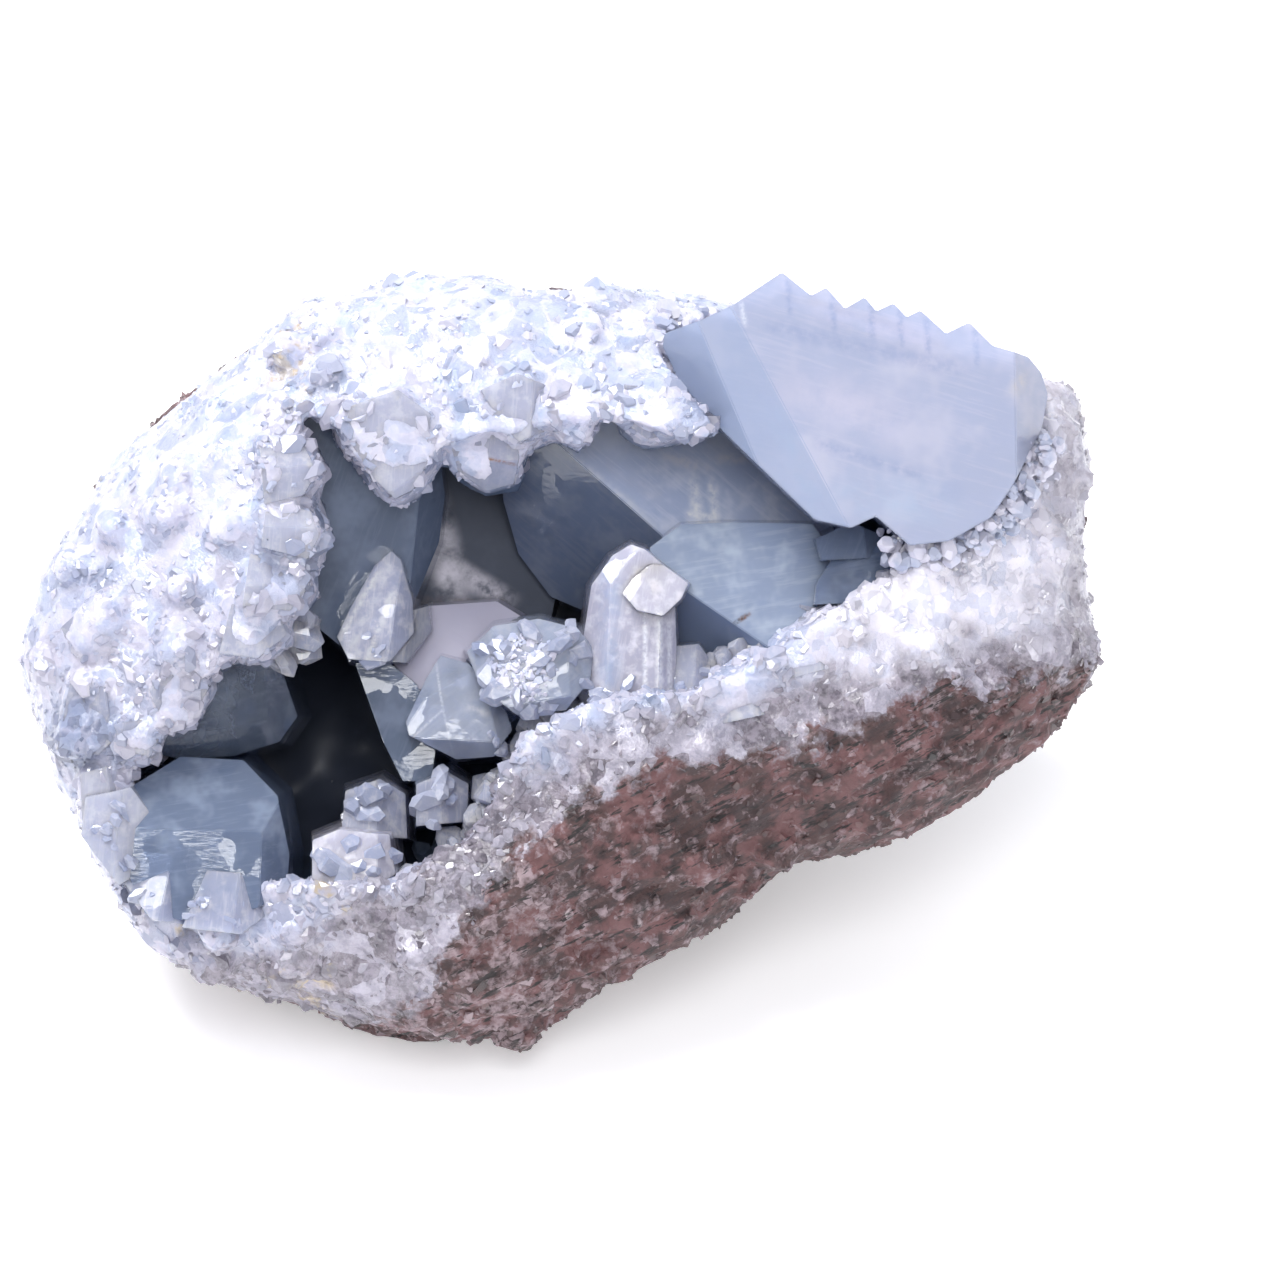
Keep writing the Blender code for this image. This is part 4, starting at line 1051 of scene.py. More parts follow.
    def sow(self, drawing: Points, outward: Points, shares: dict, above: Points) -> None:
        """Sow the small crystals and grains over the wall."""
        rock, hollow, lip = shares["rock"], shares["hollow"], shares["lip"]
        outside = above * (1 - hollow)
        front = soft_step(drawing[:, 1], 3.0, -2.0)
        carried = {key: shares[key] for key in LOOKS}
        for crystal in HollowCrust.hanging:
            middle = np.mean(crystal.face, axis=0)
            core = middle + (np.array(crystal.face) - middle) * 0.85
            outside = outside * np.where(inside_loop(drawing[:, (0, 2)], core) & (drawing[:, 1] < 0), 0.05, 1.0)
        blade = inside_loop(drawing[:, (0, 2)], np.array(BladeCrystal.face)) & (drawing[:, 1] < 2.0)
        sugar = outside * front * (1 - rock) ** 2 * (1 + 1.5 * lip) * np.where(blade, 0.1, 1.0)
        grit = outside * (0.15 + rock)
        lining = hollow * soft_step(drawing[:, 1], -6.0, 1.0) * soft_step(drawing[:, 1], 9.0, 5.0) * above
        brink = hollow * (drawing[:, 1] < -6.0) * (drawing[:, 2] < 4.0) * above
        edge = sugar * lip
        base = outside * front * shares["shaded_grey"] * (1 - 0.8 * rock) * soft_step(drawing[:, 0], 4.0, -8.0)
        sowings = (
            (Sowing("rim_crystals", "geode_wall", 420, (0.8, 2.2), Habit.CHISEL, 31, 0.35, 0.36), edge,
             SugarFinish("rim_celestite", 0.3, 0.06, 0.4)),
            (Sowing("druse_crystals", "geode_wall", 1300, (0.8, 2.2), Habit.BLOCKY, 36, 0.35, 0.44), sugar,
             SugarFinish()),
            (Sowing("brink_crystals", "geode_wall", 260, (1.4, 3.6), Habit.CHISEL, 37, 0.5, 0.1), brink,
             Clarity.GLASSY.value),
            (Sowing("base_crystals", "geode_wall", 420, (0.9, 2.6), Habit.BLOCKY, 38, 0.4, 0.5), base,
             SugarFinish("base_celestite", 0.3)),
            (Sowing("fine_sugar", "geode_wall", 3000, (0.35, 0.8), Habit.GRAIN, 32, 0.7, 0.36), sugar,
             SugarFinish("fine_sugar_celestite")),
            (Sowing("rock_grit", "geode_wall", 5500, (0.3, 0.8), Habit.GRAIN, 33, 1.2, 0.3), grit,
             SugarFinish("rock_grit", 0.0, 0.45, 0.3)),
            (Sowing("hollow_lining", "celestite_crust", 300, (1.2, 3.4), Habit.CHISEL, 34), lining,
             Clarity.SLATE.value),
        )
        for sowing, chances, finish in sowings:
            piece = sowing.grow(drawing, outward, chances, carried)
            finish_piece(piece, finish.material(), sowing.slot)


@dataclass
class HollowCrust:
    """The crystals of the hollow, grown together, and those that hang over its edge."""

    bevel: float = 0.06
    wisp_size: tuple[float, float] = (0.6, 3.0)
    wisp_form: tuple[float, float, float] = (0.55, 0.05, 1.0)
    slate: tuple = (
        Crystal(
            ((-20.6, 2.6), (-18.7, 0.9), (-15.7, 0.9), (-12.7, 4.8), (-10.7, 10.3), (-10.2, 14.4),
             (-11.0, 22.0), (-14.0, 25.0), (-20.0, 25.0), (-25.0, 20.0), (-25.5, 9.0), (-23.5, 5.0)),
            front=-3.0, back=14.0, slope_z=-0.12, bevels=((-13.3, 3.0, -11.9, 16.0, 0.5),)),
        Crystal(
            ((21.6, 11.9), (22.6, 8.6), (30.6, 9.0), (30.0, 10.4), (27.3, 12.9), (25.2, 11.9), (23.6, 12.6)),
            front=-9.5, back=0.0, slope_z=0.2, bevels=((26.6, 8.4, 26.0, 12.8, 1.2),)),
        Crystal(
            ((-15.2, -7.0), (-13.5, -10.4), (-11.0, -10.5), (-10.5, -6.0), (-12.3, -2.1), (-14.7, -0.2),
             (-17.6, -0.3)),
            front=-4.0, back=12.0, slope_x=-0.25),
    )
    milky_foot: tuple = (
        Crystal(
            ((-18.0, 0.1), (-14.5, -0.1), (-12.6, 2.4), (-12.7, 5.2), (-13.6, 8.6), (-14.4, 9.4), (-15.8, 8.2),
             (-17.9, 4.4), (-19.0, 2.0)),
            front=-7.0, back=4.0, slope_z=0.25,
            bevels=((-14.8, -0.5, -13.4, 8.6, 0.9), (-14.6, 9.6, -18.8, 3.2, 1.2))),
        Crystal(
            ((-15.0, -0.1), (-13.2, -0.2), (-11.2, 2.6), (-11.4, 4.6), (-13.0, 4.2)),
            front=-5.0, back=4.0, slope_z=0.3, bevels=((-13.6, -0.3, -12.2, 4.6, 0.7),)),
    )
    lavender: tuple = (
        Crystal(
            ((-12.1, -3.0), (-7.0, -2.5), (-3.4, 2.0), (-3.4, 3.8), (-5.5, 5.1), (-11.3, 4.7), (-15.0, 0.5)),
            front=-1.0, back=12.0, slope_z=0.55),
    )
    far_inside: tuple = (
        Crystal(
            ((-14.0, 3.0), (-1.0, 3.0), (0.5, 10.0), (-1.0, 17.0), (-13.0, 17.0)),
            front=6.5, back=14.0, slope_x=0.1, slope_z=-0.1),
    )
    blue: tuple = (
        Crystal(
            ((-0.5, 6.0), (4.0, 4.0), (12.0, 3.0), (20.0, 5.0), (24.0, 11.0), (21.0, 20.0), (9.0, 25.0),
             (-3.0, 24.0), (-5.0, 19.0), (-4.6, 14.0), (-3.2, 9.5)),
            front=-2.0, back=14.0, slope_x=0.22, slope_z=0.25,
            bevels=((-0.8, 19.3, 8.9, 10.8, 1.25), (-2.0, 15.0, 3.0, 4.5, 0.55))),
    )
    teal: tuple = (
        Crystal(
            ((8.0, 0.0), (12.2, -1.8), (18.3, 0.2), (22.3, 3.3), (23.9, 8.7), (23.3, 9.8), (21.9, 11.8),
             (14.5, 11.9), (10.5, 11.7), (7.8, 9.7)),
            front=-8.0, back=8.0, slope_x=0.08, slope_z=0.18, bevels=((9.0, 7.3, 16.0, 2.5, 0.9),)),
    )
    pale_blue: tuple = (
        Crystal(
            ((-35.0, -21.5), (-29.0, -22.5), (-23.3, -20.0), (-23.1, -16.5), (-24.0, -11.6), (-27.0, -8.7),
             (-32.2, -8.4), (-36.4, -10.9), (-37.4, -16.0)),
            front=-12.0, back=4.0, bevels=((-23.0, -14.6, -36.0, -14.2, 1.7), (-25.4, -20.0, -25.0, -10.0, 0.9))),
        Crystal(
            ((22.0, 4.8), (25.2, 4.9), (27.6, 6.2), (31.0, 9.3), (26.1, 10.0), (23.7, 9.0), (22.2, 6.6)),
            front=-10.0, back=4.0, slope_z=0.2, bevels=((29.0, 9.6, 23.6, 8.0, 1.4),)),
    )
    glassy: tuple = (
        Crystal(
            ((-18.6, -15.0), (-13.2, -15.2), (-13.4, -11.6), (-15.4, -10.2), (-18.3, -11.2)),
            front=-7.5, back=5.0, slope_z=0.35, bevels=((-15.6, -15.2, -15.8, -10.0, 0.9),)),
        Crystal(
            ((-12.2, -14.2), (-8.0, -13.8), (-7.9, -10.7), (-9.6, -9.6), (-12.2, -10.6)),
            front=-9.0, back=5.0, slope_z=0.1, slope_x=0.2, bevels=((-10.0, -14.0, -10.4, -9.8, 1.0),)),
        Crystal(
            ((9.9, -3.2), (12.8, -3.4), (13.2, -0.4), (12.0, 1.4), (9.9, 1.2)),
            front=-10.6, back=0.0, slope_z=0.3, bevels=((11.6, -3.2, 11.8, 1.2, 0.8),)),
    )
    shells: tuple = (
        Crystal(
            ((-7.7, 0.7), (-6.6, -2.2), (-3.6, -4.6), (0.6, -4.2), (2.6, -1.8), (2.9, 0.9), (1.6, 2.7),
             (-1.7, 3.5), (-5.5, 2.9)),
            front=-13.0, back=-1.0, slope_z=0.15,
            bevels=((-4.5, -4.0, 1.0, -3.0, 1.3), (1.0, -2.5, 0.6, 2.4, 1.3), (0.4, 1.6, -5.4, 1.4, 1.4),
                    (-4.9, 2.0, -5.2, -3.0, 1.2))),
        Crystal(
            ((-13.2, -4.6), (-12.8, -6.4), (-8.8, -8.4), (-5.6, -8.2), (-4.1, -6.0), (-4.8, -3.8), (-6.5, -1.8),
             (-7.5, -0.4), (-10.4, 0.3), (-11.3, -1.6)),
            front=-9.4, back=6.0, slope_z=0.2,
            bevels=((-12.6, -6.6, -5.4, -7.0, 1.1), (-9.4, -0.2, -12.4, -4.8, 1.2),
                    (-5.0, -7.8, -6.4, -2.0, 1.0), (-7.0, -0.8, -10.6, -2.8, 0.8))),
    )
    frosted: tuple = (
        Crystal(
            ((5.5, 5.7), (6.7, 4.3), (8.9, 3.8), (10.5, 5.3), (11.1, 6.6), (8.9, 8.2), (7.0, 8.2)),
            front=-12.9, back=0.0, slope_z=0.3, slope_x=0.1, bevels=((8.2, 8.3, 6.4, 5.6, 1.3),)),
        Crystal(
            ((-20.9, -18.6), (-16.5, -19.8), (-14.0, -18.2), (-14.5, -14.9), (-18.7, -14.4), (-20.9, -15.3)),
            front=-12.5, back=2.0, slope_z=0.3, bevels=((-15.4, -19.5, -15.4, -14.6, 0.9),)),
        Crystal(
            ((2.8, -4.0), (9.8, -4.0), (10.0, 1.0), (9.9, 4.4), (9.6, 7.6), (7.4, 9.5), (6.2, 9.9), (4.6, 8.9),
             (2.9, 6.4), (2.2, 1.7)),
            front=-12.4, back=2.0, slope_x=0.05, slope_z=0.06,
            bevels=((8.4, -4.0, 8.8, 8.4, 0.8), (4.6, 9.0, 4.0, -4.0, 0.9), (7.0, 9.8, 3.0, 4.6, 1.4))),
    )
    knots: tuple = (
        ("shells", 0, (-1.6, 1.4), (4.4, 2.0), 14, (1.4, 3.0)), ("shells", 0, (-2.4, -0.8), (5.2, 3.8), 18, (1.4, 3.0)),
        ("shells", 1, (-5.6, -6.4), (1.6, 2.0), 4, (1.0, 2.2)),
        ("milky_foot", 0, (-16.4, 1.0), (2.0, 1.6), 4, (1.0, 2.2)), ("glassy", 0, (-16.0, -12.8), (2.6, 2.4), 7, (1.4, 3.0)),
        ("glassy", 1, (-10.2, -12.2), (2.4, 2.4), 7, (1.4, 3.0)), ("frosted", 2, (5.6, -3.0), (3.6, 1.2), 14, (1.0, 2.2)),
        ("glassy", 2, (11.4, -2.0), (2.0, 1.8), 7, (1.0, 2.2)), ("frosted", 1, (-17.4, -17.0), (3.6, 2.4), 9, (1.8, 4.0)),
        ("hanging", 16, (-33.4, -20.2), (3.0, 1.2), 8, (1.0, 2.2)), ("hanging", 17, (-28.6, -21.2), (3.4, 1.2), 9, (1.0, 2.2)),
        ("hanging", 18, (-37.0, -14.6), (1.8, 3.4), 10, (1.0, 2.2)),
        ("teal", 0, (14.5, -1.0), (5.4, 1.4), 18, (1.0, 2.2)),
    )
    cores: tuple = (("shells", 0, (-3.0, -0.6), (3.2, 3.0), 170, (0.5, 1.4)),)
    smoky: tuple = (
        Crystal(
            ((-34.3, -7.9), (-32.2, -8.4), (-27.8, -8.1), (-23.9, -6.9), (-22.5, -4.8), (-23.7, -0.9),
             (-25.9, 0.9), (-29.6, 0.9), (-32.5, -3.5)),
            front=-9.0, back=7.0, slope_z=-0.1,
            bevels=((-33.0, -6.4, -23.0, -5.0, 1.3), (-24.8, -6.5, -25.0, 0.5, 1.2))),
    )
    hanging: tuple = (
        Crystal(((-15.6, 15.4), (-13.9, 13.8), (-12.4, 14.6), (-10.9, 17.2), (-10.9, 21.0), (-13.6, 23.0),
                 (-17.6, 21.6), (-18.2, 19.4)),
                front=-13.6, back=-5.0, slope_z=-0.2, bevels=((-14.6, 14.0, -11.4, 16.4, 1.1),)),
        Crystal(((-8.6, 16.2), (-6.3, 14.6), (-3.9, 15.2), (-3.4, 17.4), (-3.9, 21.0), (-9.2, 21.4),
                 (-9.4, 19.0)),
                front=-10.1, back=-3.0, slope_z=-0.3, bevels=((-8.6, 16.9, -3.6, 17.1, 1.2),)),
        Crystal(((-4.8, 20.0), (-3.3, 18.6), (-1.0, 19.7), (0.4, 20.6), (-1.0, 23.4), (-3.5, 24.4),
                 (-6.6, 23.0)),
                front=-14.3, back=-5.0, slope_z=-0.15, bevels=((-2.4, 18.8, -2.2, 24.0, 0.8),)),
        Crystal(((0.2, 19.6), (1.5, 18.7), (2.6, 20.0), (3.0, 23.0), (0.4, 23.0)),
                front=-12.5, back=-5.0, slope_z=-0.3),
        Crystal(((5.8, 20.2), (7.6, 19.0), (9.8, 19.4), (10.6, 23.0), (5.6, 23.6)),
                front=-12.5, back=-4.0, slope_z=-0.3, bevels=((7.8, 19.0, 8.4, 23.0, 0.9),)),
        Crystal(((-24.8, 13.2), (-21.6, 14.0), (-20.4, 16.0), (-21.6, 18.2), (-25.2, 18.6)),
                front=-15.1, back=-6.0, slope_x=0.35, bevels=((-21.0, 16.6, -25.0, 16.2, 1.5),)),
        Crystal(((-25.0, 9.6), (-21.2, 8.6), (-20.2, 10.6), (-21.0, 12.6), (-24.6, 13.4)),
                front=-15.7, back=-6.0, slope_x=0.35, bevels=((-20.4, 11.2, -25.0, 11.4, 1.4),)),
        Crystal(((-26.6, 4.6), (-22.6, 4.2), (-21.4, 5.9), (-22.0, 8.0), (-26.0, 9.0)),
                front=-15.5, back=-6.0, slope_x=0.3, bevels=((-21.4, 6.6, -26.0, 6.4, 1.3),)),
        Crystal(((-28.6, 0.6), (-25.4, 0.2), (-23.0, 2.2), (-23.8, 4.4), (-27.6, 4.8)),
                front=-14.7, back=-6.0, slope_x=0.25, slope_z=0.2),
        Crystal(((-36.8, -7.6), (-34.6, -8.2), (-33.6, -6.2), (-35.2, -5.0), (-37.6, -5.4)),
                front=-12.7, back=-4.0, slope_x=0.2),
        Crystal(((-33.4, -5.6), (-31.2, -5.4), (-29.6, -2.2), (-31.8, -0.6), (-34.6, -2.4)),
                front=-12.9, back=-4.0, slope_x=0.3, slope_z=-0.2),
        Crystal(((-40.4, -13.8), (-37.2, -14.2), (-36.2, -11.6), (-37.6, -8.8), (-40.6, -9.6)),
                front=-10.7, back=-2.0, slope_x=-0.3, bevels=((-37.6, -14.0, -38.4, -9.0, 1.0),)),
        Crystal(((-42.6, -7.6), (-39.0, -8.0), (-36.4, -5.6), (-37.4, -2.4), (-41.4, -1.8)),
                front=-11.1, back=-2.0, slope_x=-0.35, bevels=((-37.6, -8.0, -38.6, -1.8, 1.0),)),
        Crystal(((14.0, -5.4), (17.6, -4.6), (19.2, -1.4), (16.4, 0.4), (13.4, -1.6)),
                front=-15.5, back=-7.0, slope_z=0.35, bevels=((16.8, -5.0, 15.8, 0.4, 1.0),)),
        Crystal(((19.6, -1.6), (23.4, -0.6), (25.4, 2.6), (22.6, 4.0), (19.2, 1.2)),
                front=-14.9, back=-7.0, slope_z=0.35, bevels=((22.6, -1.0, 21.6, 4.0, 1.0),)),
        Crystal(((27.4, 3.6), (31.4, 4.4), (33.6, 7.6), (30.8, 8.8), (27.2, 6.0)),
                front=-13.1, back=-6.0, slope_z=0.35, bevels=((30.6, 4.0, 29.8, 8.8, 1.0),)),
        Crystal(((-37.0, -18.6), (-34.4, -22.0), (-31.4, -22.4), (-29.6, -19.2), (-31.8, -16.8), (-35.8, -16.0)),
                front=-12.3, back=-2.0, slope_z=0.25, slope_x=-0.1, bevels=((-33.8, -22.0, -32.6, -16.0, 1.2),)),
        Crystal(((-31.8, -22.6), (-27.0, -23.2), (-23.8, -20.8), (-25.6, -18.2), (-29.8, -17.8)),
                front=-12.9, back=-2.0, slope_z=0.3, bevels=((-27.6, -23.0, -27.0, -17.6, 1.3),)),
        Crystal(((-40.4, -14.8), (-37.2, -19.0), (-35.0, -17.6), (-34.4, -13.6), (-36.2, -10.8), (-40.0, -11.6)),
                front=-13.2, back=-1.0, slope_x=-0.3, bevels=((-37.6, -18.6, -37.0, -11.0, 1.2),)),
    )

    def build(self) -> None:
        """Build the crystals, one piece for each kind."""
        kinds = (
            ("slate_crystals", self.slate, Clarity.SLATE, 5), ("milky_crystal", self.milky_foot, Clarity.GLASSY, 50),
            ("lavender_crystals", self.lavender, Clarity.LAVENDER, 0),
            ("far_crystal", self.far_inside, Clarity.FAR_SHADE_AND_LIGHT, 0), ("blue_crystals", self.blue, Clarity.BLUE, 14),
            ("teal_crystal", self.teal, Clarity.TEAL, 14), ("pale_blue_crystals", self.pale_blue, Clarity.PALE_BLUE, 16),
            ("glassy_crystals", self.glassy, Clarity.GLASSY, 12), ("clear_crystals", self.shells, Clarity.SHELL, 24),
            ("frosted_crystals", self.frosted, Clarity.FROSTED, 20),
            ("smoky_crystal", self.smoky, Clarity.SMOKY, 2),
        )
        wisps = []
        for seed, (name, crystals, clarity, count) in enumerate(kinds):
            piece = grown_together(name, crystals, self.bevel, seed)
            finish_piece(piece, clarity.value.material(), "celestite_crust", "crystal_crust")
            wisps += [self.wisps(crystal, count, seed) for crystal in crystals if count]
        piece = grown_together("hanging_crystals", self.hanging, self.bevel, 20)
        finish_piece(piece, Clarity.GLASSY.value.material(), "geode_wall")
        wisps += [self.wisps(crystal, 8, 21) for crystal in self.hanging]
        starts = np.cumsum([0] + [len(points) for points, _ in wisps])
        faces = [[start + corner for corner in face] for start, (_, own) in zip(starts, wisps) for face in own]
        piece = mesh_object("healed_cracks", np.vstack([points for points, _ in wisps]), faces)
        finish_piece(piece, WispFinish().material(), "celestite_crust")
        self.overgrow("glassy_knots", self.knots, Clarity.KNOT.value, 0.42)
        self.overgrow("frosted_core", self.cores, SugarFinish("core_celestite", 0.0, 0.2, 0.6), 0.5)

    def overgrow(self, name: str, spots: tuple, finish, sunk: float) -> None:
        """Grow knots of small crystals on the faces of larger ones.

        Args:
            name: the piece's name.
            spots: each knot's host kind and number, middle, reach, count and crystal sizes.
            finish: the crystals' finish.
            sunk: how deep they sit, as a share of their size.
        """
        sizes = sorted({size for *_, size in spots})
        picks = np.random.default_rng(len(spots))
        for number, size in enumerate(sizes):
            sites, facings = [], []
            for kind, host, middle, reach, count, own in spots:
                if own == size:
                    turn, far = picks.uniform(0, 2 * math.pi, count), np.sqrt(picks.random(count))
                    spread = np.column_stack((np.cos(turn) * far, np.sin(turn) * far)) * reach
                    points, facing = getattr(self, kind)[host].surface(np.array(middle) + spread)
                    sites.append(points)
                    facings.append(unit(facing + np.column_stack((spread[:, 0], 0 * far, spread[:, 1])) * 0.25))
            sites, facings = np.vstack(sites), np.vstack(facings)
            shares = plain_shares(len(sites))
            sowing = Sowing(f"{name}_{number}", "celestite_crust", len(sites), size, Habit.CHISEL, 50 + number, 0.4, sunk)
            piece = sowing.grow(sites, facings, np.ones(len(sites)), shares)
            finish_piece(piece, finish.material(), "celestite_crust")

    def wisps(self, crystal: Crystal, count: int, seed: int) -> tuple[Points, list]:
        """Thin flakes inside a crystal, close behind its front face, along two of its planes.

        Args:
            crystal: the crystal.
            count: how many flakes.
            seed: seed of their places.

        Returns:
            Points and faces.
        """
        picks = np.random.default_rng([seed, len(crystal.face), count])
        corners = np.array(crystal.face)
        spots = picks.uniform(corners.min(axis=0), corners.max(axis=0), (count * 12, 2))
        depths = np.array([crystal.depth(x, z) for x, z in spots]) + picks.uniform(0.8, 5.0, len(spots))
        places = np.column_stack((spots[:, 0], depths, spots[:, 1]))
        clear = np.ones(len(places), bool)
        for normal, reach in crystal.planes():
            clear &= places @ normal < reach - 1.0
        places = places[clear][:count]
        low, high = self.wisp_size
        form, own = habit_forms(Habit.GRAIN, seed, 1)[0]
        lean = picks.normal(0, 1, (2, 3))
        points, faces = [], []
        for number, place in enumerate(places):
            across = unit(lean[number % 2] + picks.normal(0, 0.25, 3))
            along = unit(np.cross(across, picks.normal(0, 1, 3)))
            axes = np.stack((np.cross(along, across), across, along), axis=1)
            size = low + (high - low) * picks.random() ** 2
            points.append((form * size * np.array(self.wisp_form)) @ axes.T + place)
            faces += [[number * len(form) + corner for corner in face] for face in own]
        return (np.vstack(points) if points else np.zeros((0, 3))), faces


@dataclass
class BladeCrystal:
    """The large toothed crystal of celestite at the upper right of the mouth."""

    face: tuple = (
        (8.9, 27.0), (10.4, 23.9), (14.3, 19.4), (21.9, 12.0), (25.0, 11.3), (27.1, 12.3), (30.0, 9.8),
        (33.4, 10.2), (37.0, 12.2), (38.8, 14.8), (41.6, 20.0), (42.2, 22.9), (41.6, 24.8), (40.4, 26.1),
        (37.2, 27.0), (35.2, 29.0), (33.2, 28.0), (31.0, 30.0), (29.8, 29.4), (28.7, 30.6), (27.2, 29.9),
        (26.2, 31.1), (24.5, 30.1), (22.9, 31.9), (21.6, 31.2), (19.1, 33.2), (14.8, 30.3), (12.2, 29.1),
        (9.1, 28.1),
    )
    front: float = -15.5
    back: float = -3.5
    slope: tuple[float, float] = (0.02, 0.12)
    facets: tuple = (
        (15.5, 31.5, 20.6, 13.5, 2.2), (12.9, 30.6, 17.4, 18.4, 0.8), (21.4, 33.4, 9.5, 29.6, 0.9),
        (40.5, 8.0, 38.6, 28.0, 0.7),
    )
    teeth: tuple = ((19.1, 33.0), (22.9, 31.7), (26.2, 30.9), (28.7, 30.4), (31.0, 29.8), (35.2, 28.8))
    rooted: tuple = (
        (1.2, ((29.0, 9.0), (33.4, 9.8), (37.2, 11.4), (39.6, 14.8), (42.0, 18.5))),
        (6.4, ((11.6, 21.6), (9.4, 24.0), (8.2, 27.4), (9.6, 29.0))),
    )
    bevel: float = 0.1

    def build(self) -> None:
        """Build the blade: its face drawn back in depth, then cut by its side faces."""
        outline = np.array(self.face)
        centre = outline.mean(axis=0)
        form = bmesh.new()
        loops = []
        for depth in (self.front, self.back):
            tilts = (outline - centre) @ np.array(self.slope)
            loops.append([form.verts.new((x, depth + tilt, z)) for (x, z), tilt in zip(outline, tilts)])
        for index in range(len(outline)):
            after = (index + 1) % len(outline)
            form.faces.new((loops[0][index], loops[0][after], loops[1][after], loops[1][index]))
        for loop in loops:
            form.faces.new(loop)
        for x1, z1, x2, z2, spread in self.facets:
            outward = unit((z2 - z1, 0.0, x1 - x2))
            normal = unit(np.cross((x2 - x1, 0.0, z2 - z1), outward * spread + np.array((0.0, 1.0, 0.0))))
            normal = -normal if normal @ outward < 0 else normal
            everything = form.verts[:] + form.edges[:] + form.faces[:]
            cut = bmesh.ops.bisect_plane(
                form, geom=everything, plane_co=(x1, self.front, z1), plane_no=normal, clear_outer=True)
            rim = [item for item in cut["geom_cut"] if isinstance(item, bmesh.types.BMEdge)]
            bmesh.ops.contextual_create(form, geom=rim)
        bmesh.ops.recalc_face_normals(form, faces=form.faces)
        bmesh.ops.bevel(form, geom=form.edges[:], offset=self.bevel, segments=2, affect="EDGES", clamp_overlap=True)
        form.verts.index_update()
        points = np.array([vert.co for vert in form.verts])
        faces = [[vert.index for vert in face.verts] for face in form.faces]
        form.free()
        # faces turned left are marked for painted shade
        piece = mesh_object("blade", points, faces, {"tint": np.zeros(len(points))}, sides=(-1.0, -0.25, 0.0))
        finish_piece(piece, self.finish().material(), "celestite_blade", "blade_crystal")
        self.root()

    def root(self) -> None:
        """Grow small crystals of the stone against the blade's left and right edges."""
        centre = np.array(self.face).mean(axis=0)
        picks = np.random.default_rng(5)
        sites, outward = [], []
        for sunk, line in self.rooted:
            line = np.array(line)
            for start, end in zip(line, line[1:]):
                for spot in start + (end - start) * picks.random((int(np.hypot(*(end - start)) * 30), 1)):
                    spot = spot + picks.normal(0, 0.9, 2)
                    depth = self.front + (spot - centre) @ np.array(self.slope) + sunk + picks.uniform(0.0, 6.0)
                    sites.append((spot[0], depth, spot[1]))
                    outward.append(unit((spot[0] - centre[0], -9.0, spot[1] - centre[1])))
        sites, outward = np.array(sites), np.array(outward)
        shares = plain_shares(len(sites))
        sowing = Sowing("blade_roots", "geode_wall", len(sites), (0.5, 1.8), Habit.BLOCKY, 41, 0.5, 0.35)
        finish_piece(sowing.grow(sites, outward, np.ones(len(sites)), shares), SugarFinish("root_celestite", 0.1).material(), "geode_wall")

    def finish(self) -> ClearFinish:
        """Pale periwinkle celestite, milky in its middle and bluer down its left side, with painted shade on its
        left-turned faces and painted highlights along its left ridge.
        """
        milky, dusk, sky = "C9C7DA", "9CA6C6", "B4C3DC"
        veils = (
            Veil((17.5, 28.6), (36.0, 24.6), 1.3, 0.7, dusk), Veil((19.0, 23.0), (34.0, 19.0), 4.2, 0.9, milky),
            Veil((22.0, 18.6), (32.0, 15.4), 0.9, 0.7, dusk), Veil((24.0, 14.0), (36.0, 13.0), 3.0, 0.7, sky),
            Veil((18.0, 22.0), (23.0, 11.5), 1.4, 0.8, sky), Veil((22.0, 30.0), (34.0, 27.0), 1.6, 0.6, "C8C6DC"),
            # the thin DDE0EE lines are painted highlights along the left ridge
            Veil((8.6, 27.6), (14.9, 18.6), 1.5, 0.9, "6E84AC"), Veil((13.6, 23.5), (14.6, 20.9), 0.4, 1.0, "DDE0EE"), Veil((15.6, 30.6), (16.0, 28.2), 0.4, 1.0, "DDE0EE"),
            Veil((33.0, 14.5), (35.5, 14.0), 1.6, 0.7, dusk), Veil((40.0, 24.6), (38.4, 22.0), 1.0, 0.5, "D8CDBE"),
        )
        veils += tuple(Veil((x + 0.5, z - 0.3), (x + 0.7, z - 4.0), 0.5, 0.8, dusk) for x, z in self.teeth)
        return ClearFinish(
            "blade_celestite", "B0B7D0", "C2C4D8", 0.4, 0.14, cloud_size=6.0, veils=veils, side="A6B3CF",
            depth_colour="A8B6D4", density=40.0, facets=0.04, facet_size=5.0, streak_turn=-16.0)


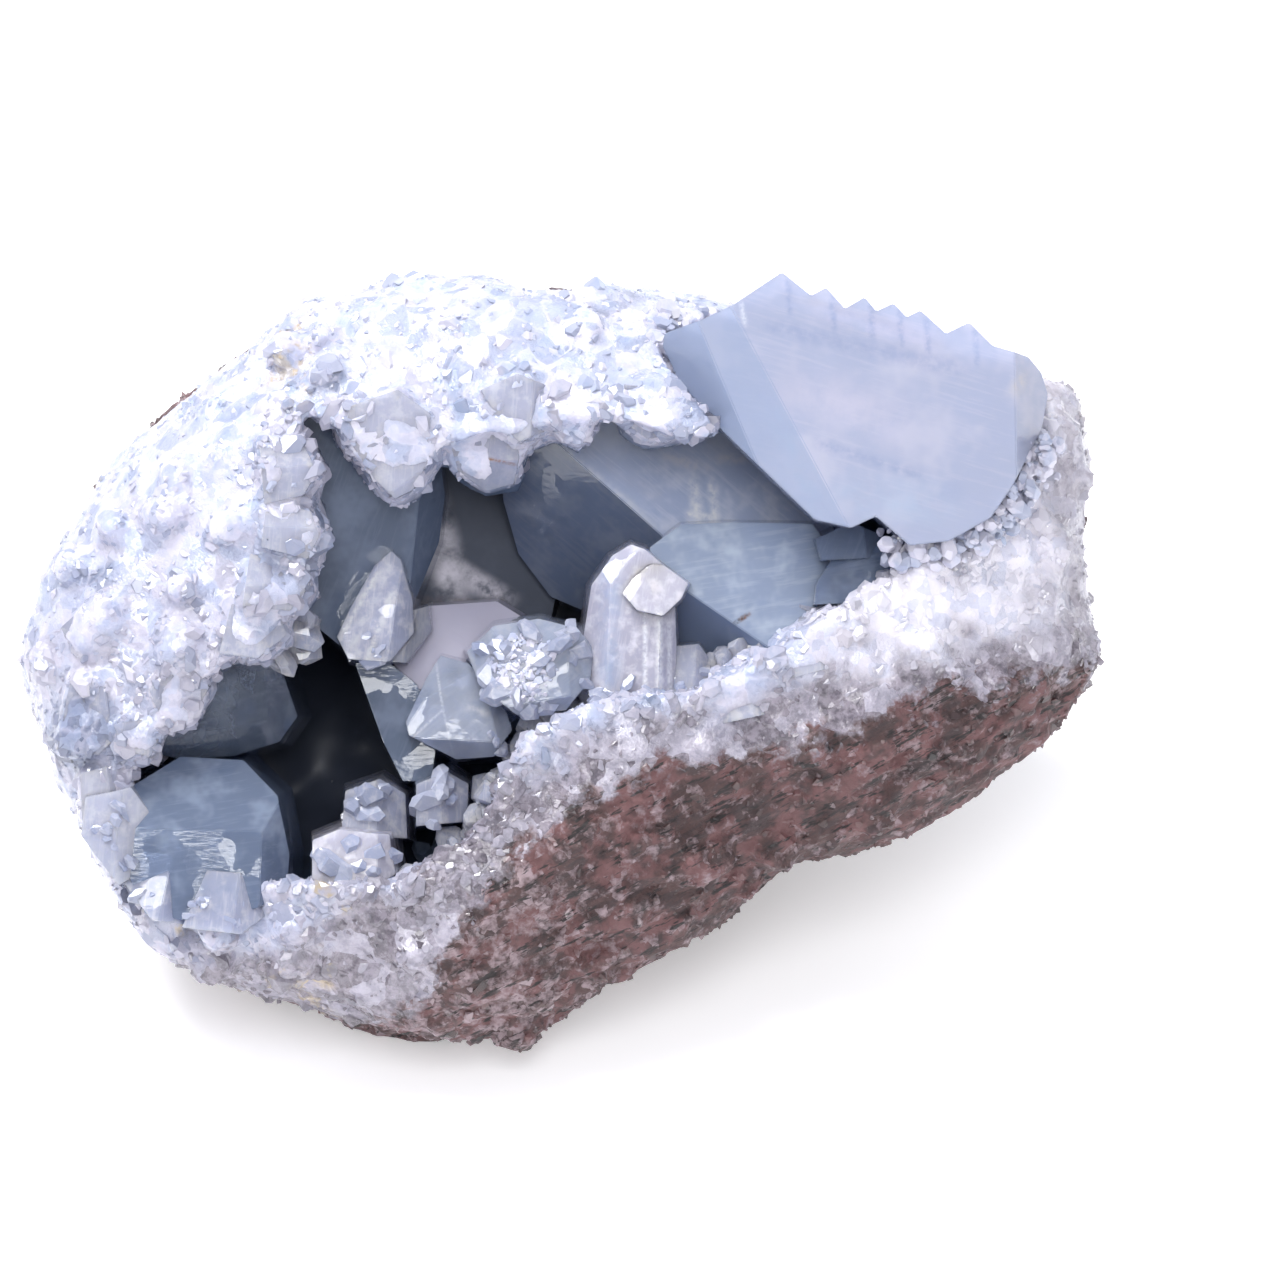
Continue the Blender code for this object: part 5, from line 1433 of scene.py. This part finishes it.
@dataclass
class Studio:
    """A plain pale floor, soft studio light and the camera."""

    eye_distance: float = 700.0
    look_at: tuple[float, float] = (6.96, 1.74)
    points_per_mm: float = 11.5
    image_points: float = 1280.0
    floor_size: float = 6.0

    def build(self) -> None:
        """Set the floor, the lights, the world and the camera."""
        paint = Paint("pale_studio_floor")
        glow = {"Emission Color": linear("FFFFFF"), "Emission Strength": 0.35}
        material = paint.finish({"Base Color": linear("F4F4F6"), "Roughness": 0.8, **glow}, {})
        half = self.floor_size / 2
        mesh = bpy.data.meshes.new("floor")
        mesh.from_pydata([(-half, -half, 0), (half, -half, 0), (half, half, 0), (-half, half, 0)], [], [(0, 1, 2, 3)])
        mesh.materials.append(material)
        floor = bpy.data.objects.new("floor", mesh)
        bpy.context.scene.collection.objects.link(floor)
        floor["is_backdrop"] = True
        self.lamp("key", (-0.16, 0.06, 0.62), 0.30, 4.7)
        self.lamp("front_fill", (-0.20, -0.70, 0.80), 0.5, 6.0)
        self.lamp("back_light", (0.35, 0.65, 0.35), 0.4, 0.8)
        world = bpy.data.worlds.new("studio")
        bpy.context.scene.world = world
        world.use_nodes = True
        background = world.node_tree.nodes["Background"]
        tree = world.node_tree
        sky = add_node(tree, "ShaderNodeTexCoord").outputs["Generated"]
        over = (0.15, 0.45, 0.88)
        rise = add_node(tree, "ShaderNodeVectorMath", {"operation": "DOT_PRODUCT", 1: over}, {0: sky})
        light = {"From Min": -0.9, "From Max": 0.9, "To Min": 0.22, "To Max": 0.75}
        shade = add_node(tree, "ShaderNodeMapRange", light, {"Value": rise.outputs["Value"]})
        background.inputs["Color"].default_value = linear("F5F7FF")
        tree.links.new(shade.outputs["Result"], background.inputs["Strength"])
        bpy.context.scene.view_settings.view_transform = "Standard"
        self.camera()

    def lamp(self, name: str, place: tuple, size: float, power: float) -> None:
        """Add a square soft lamp that looks at the stone."""
        data = bpy.data.lights.new(name, "AREA")
        data.size, data.energy = size, power
        lamp = bpy.data.objects.new(name, data)
        bpy.context.scene.collection.objects.link(lamp)
        lamp.location = place
        lamp.rotation_euler = (Vector((0, 0, 0.03)) - Vector(place)).to_track_quat("-Z", "Y").to_euler()

    def camera(self) -> None:
        """Set the camera where the stone was looked at from."""
        turning = ATTITUDE.turning()
        right, look, up = turning.T
        target = (right * self.look_at[0] + up * self.look_at[1] + np.array(ATTITUDE.middle)) * MM
        data = bpy.data.cameras.new("camera")
        data.sensor_width = 36.0
        data.lens = data.sensor_width * self.eye_distance * self.points_per_mm / self.image_points
        data.clip_start = 0.01
        camera = bpy.data.objects.new("camera", data)
        bpy.context.scene.collection.objects.link(camera)
        axes = Matrix(np.stack((right, up, -look), axis=1).tolist()).to_4x4()
        camera.matrix_world = Matrix.Translation(Vector(target - look * self.eye_distance * MM)) @ axes
        bpy.context.scene.camera = camera


def main() -> None:
    """Build the stage and the stone, and log each piece's faces."""
    logging.basicConfig(level=logging.INFO, format="%(name)s: %(message)s")
    Studio().build()
    StoneWall().build()
    HollowCrust().build()
    BladeCrystal().build()


CAD_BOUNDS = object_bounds()
BOX = np.array([list(corner) for corner in CAD_BOUNDS])

if __name__ == "__main__":
    main()
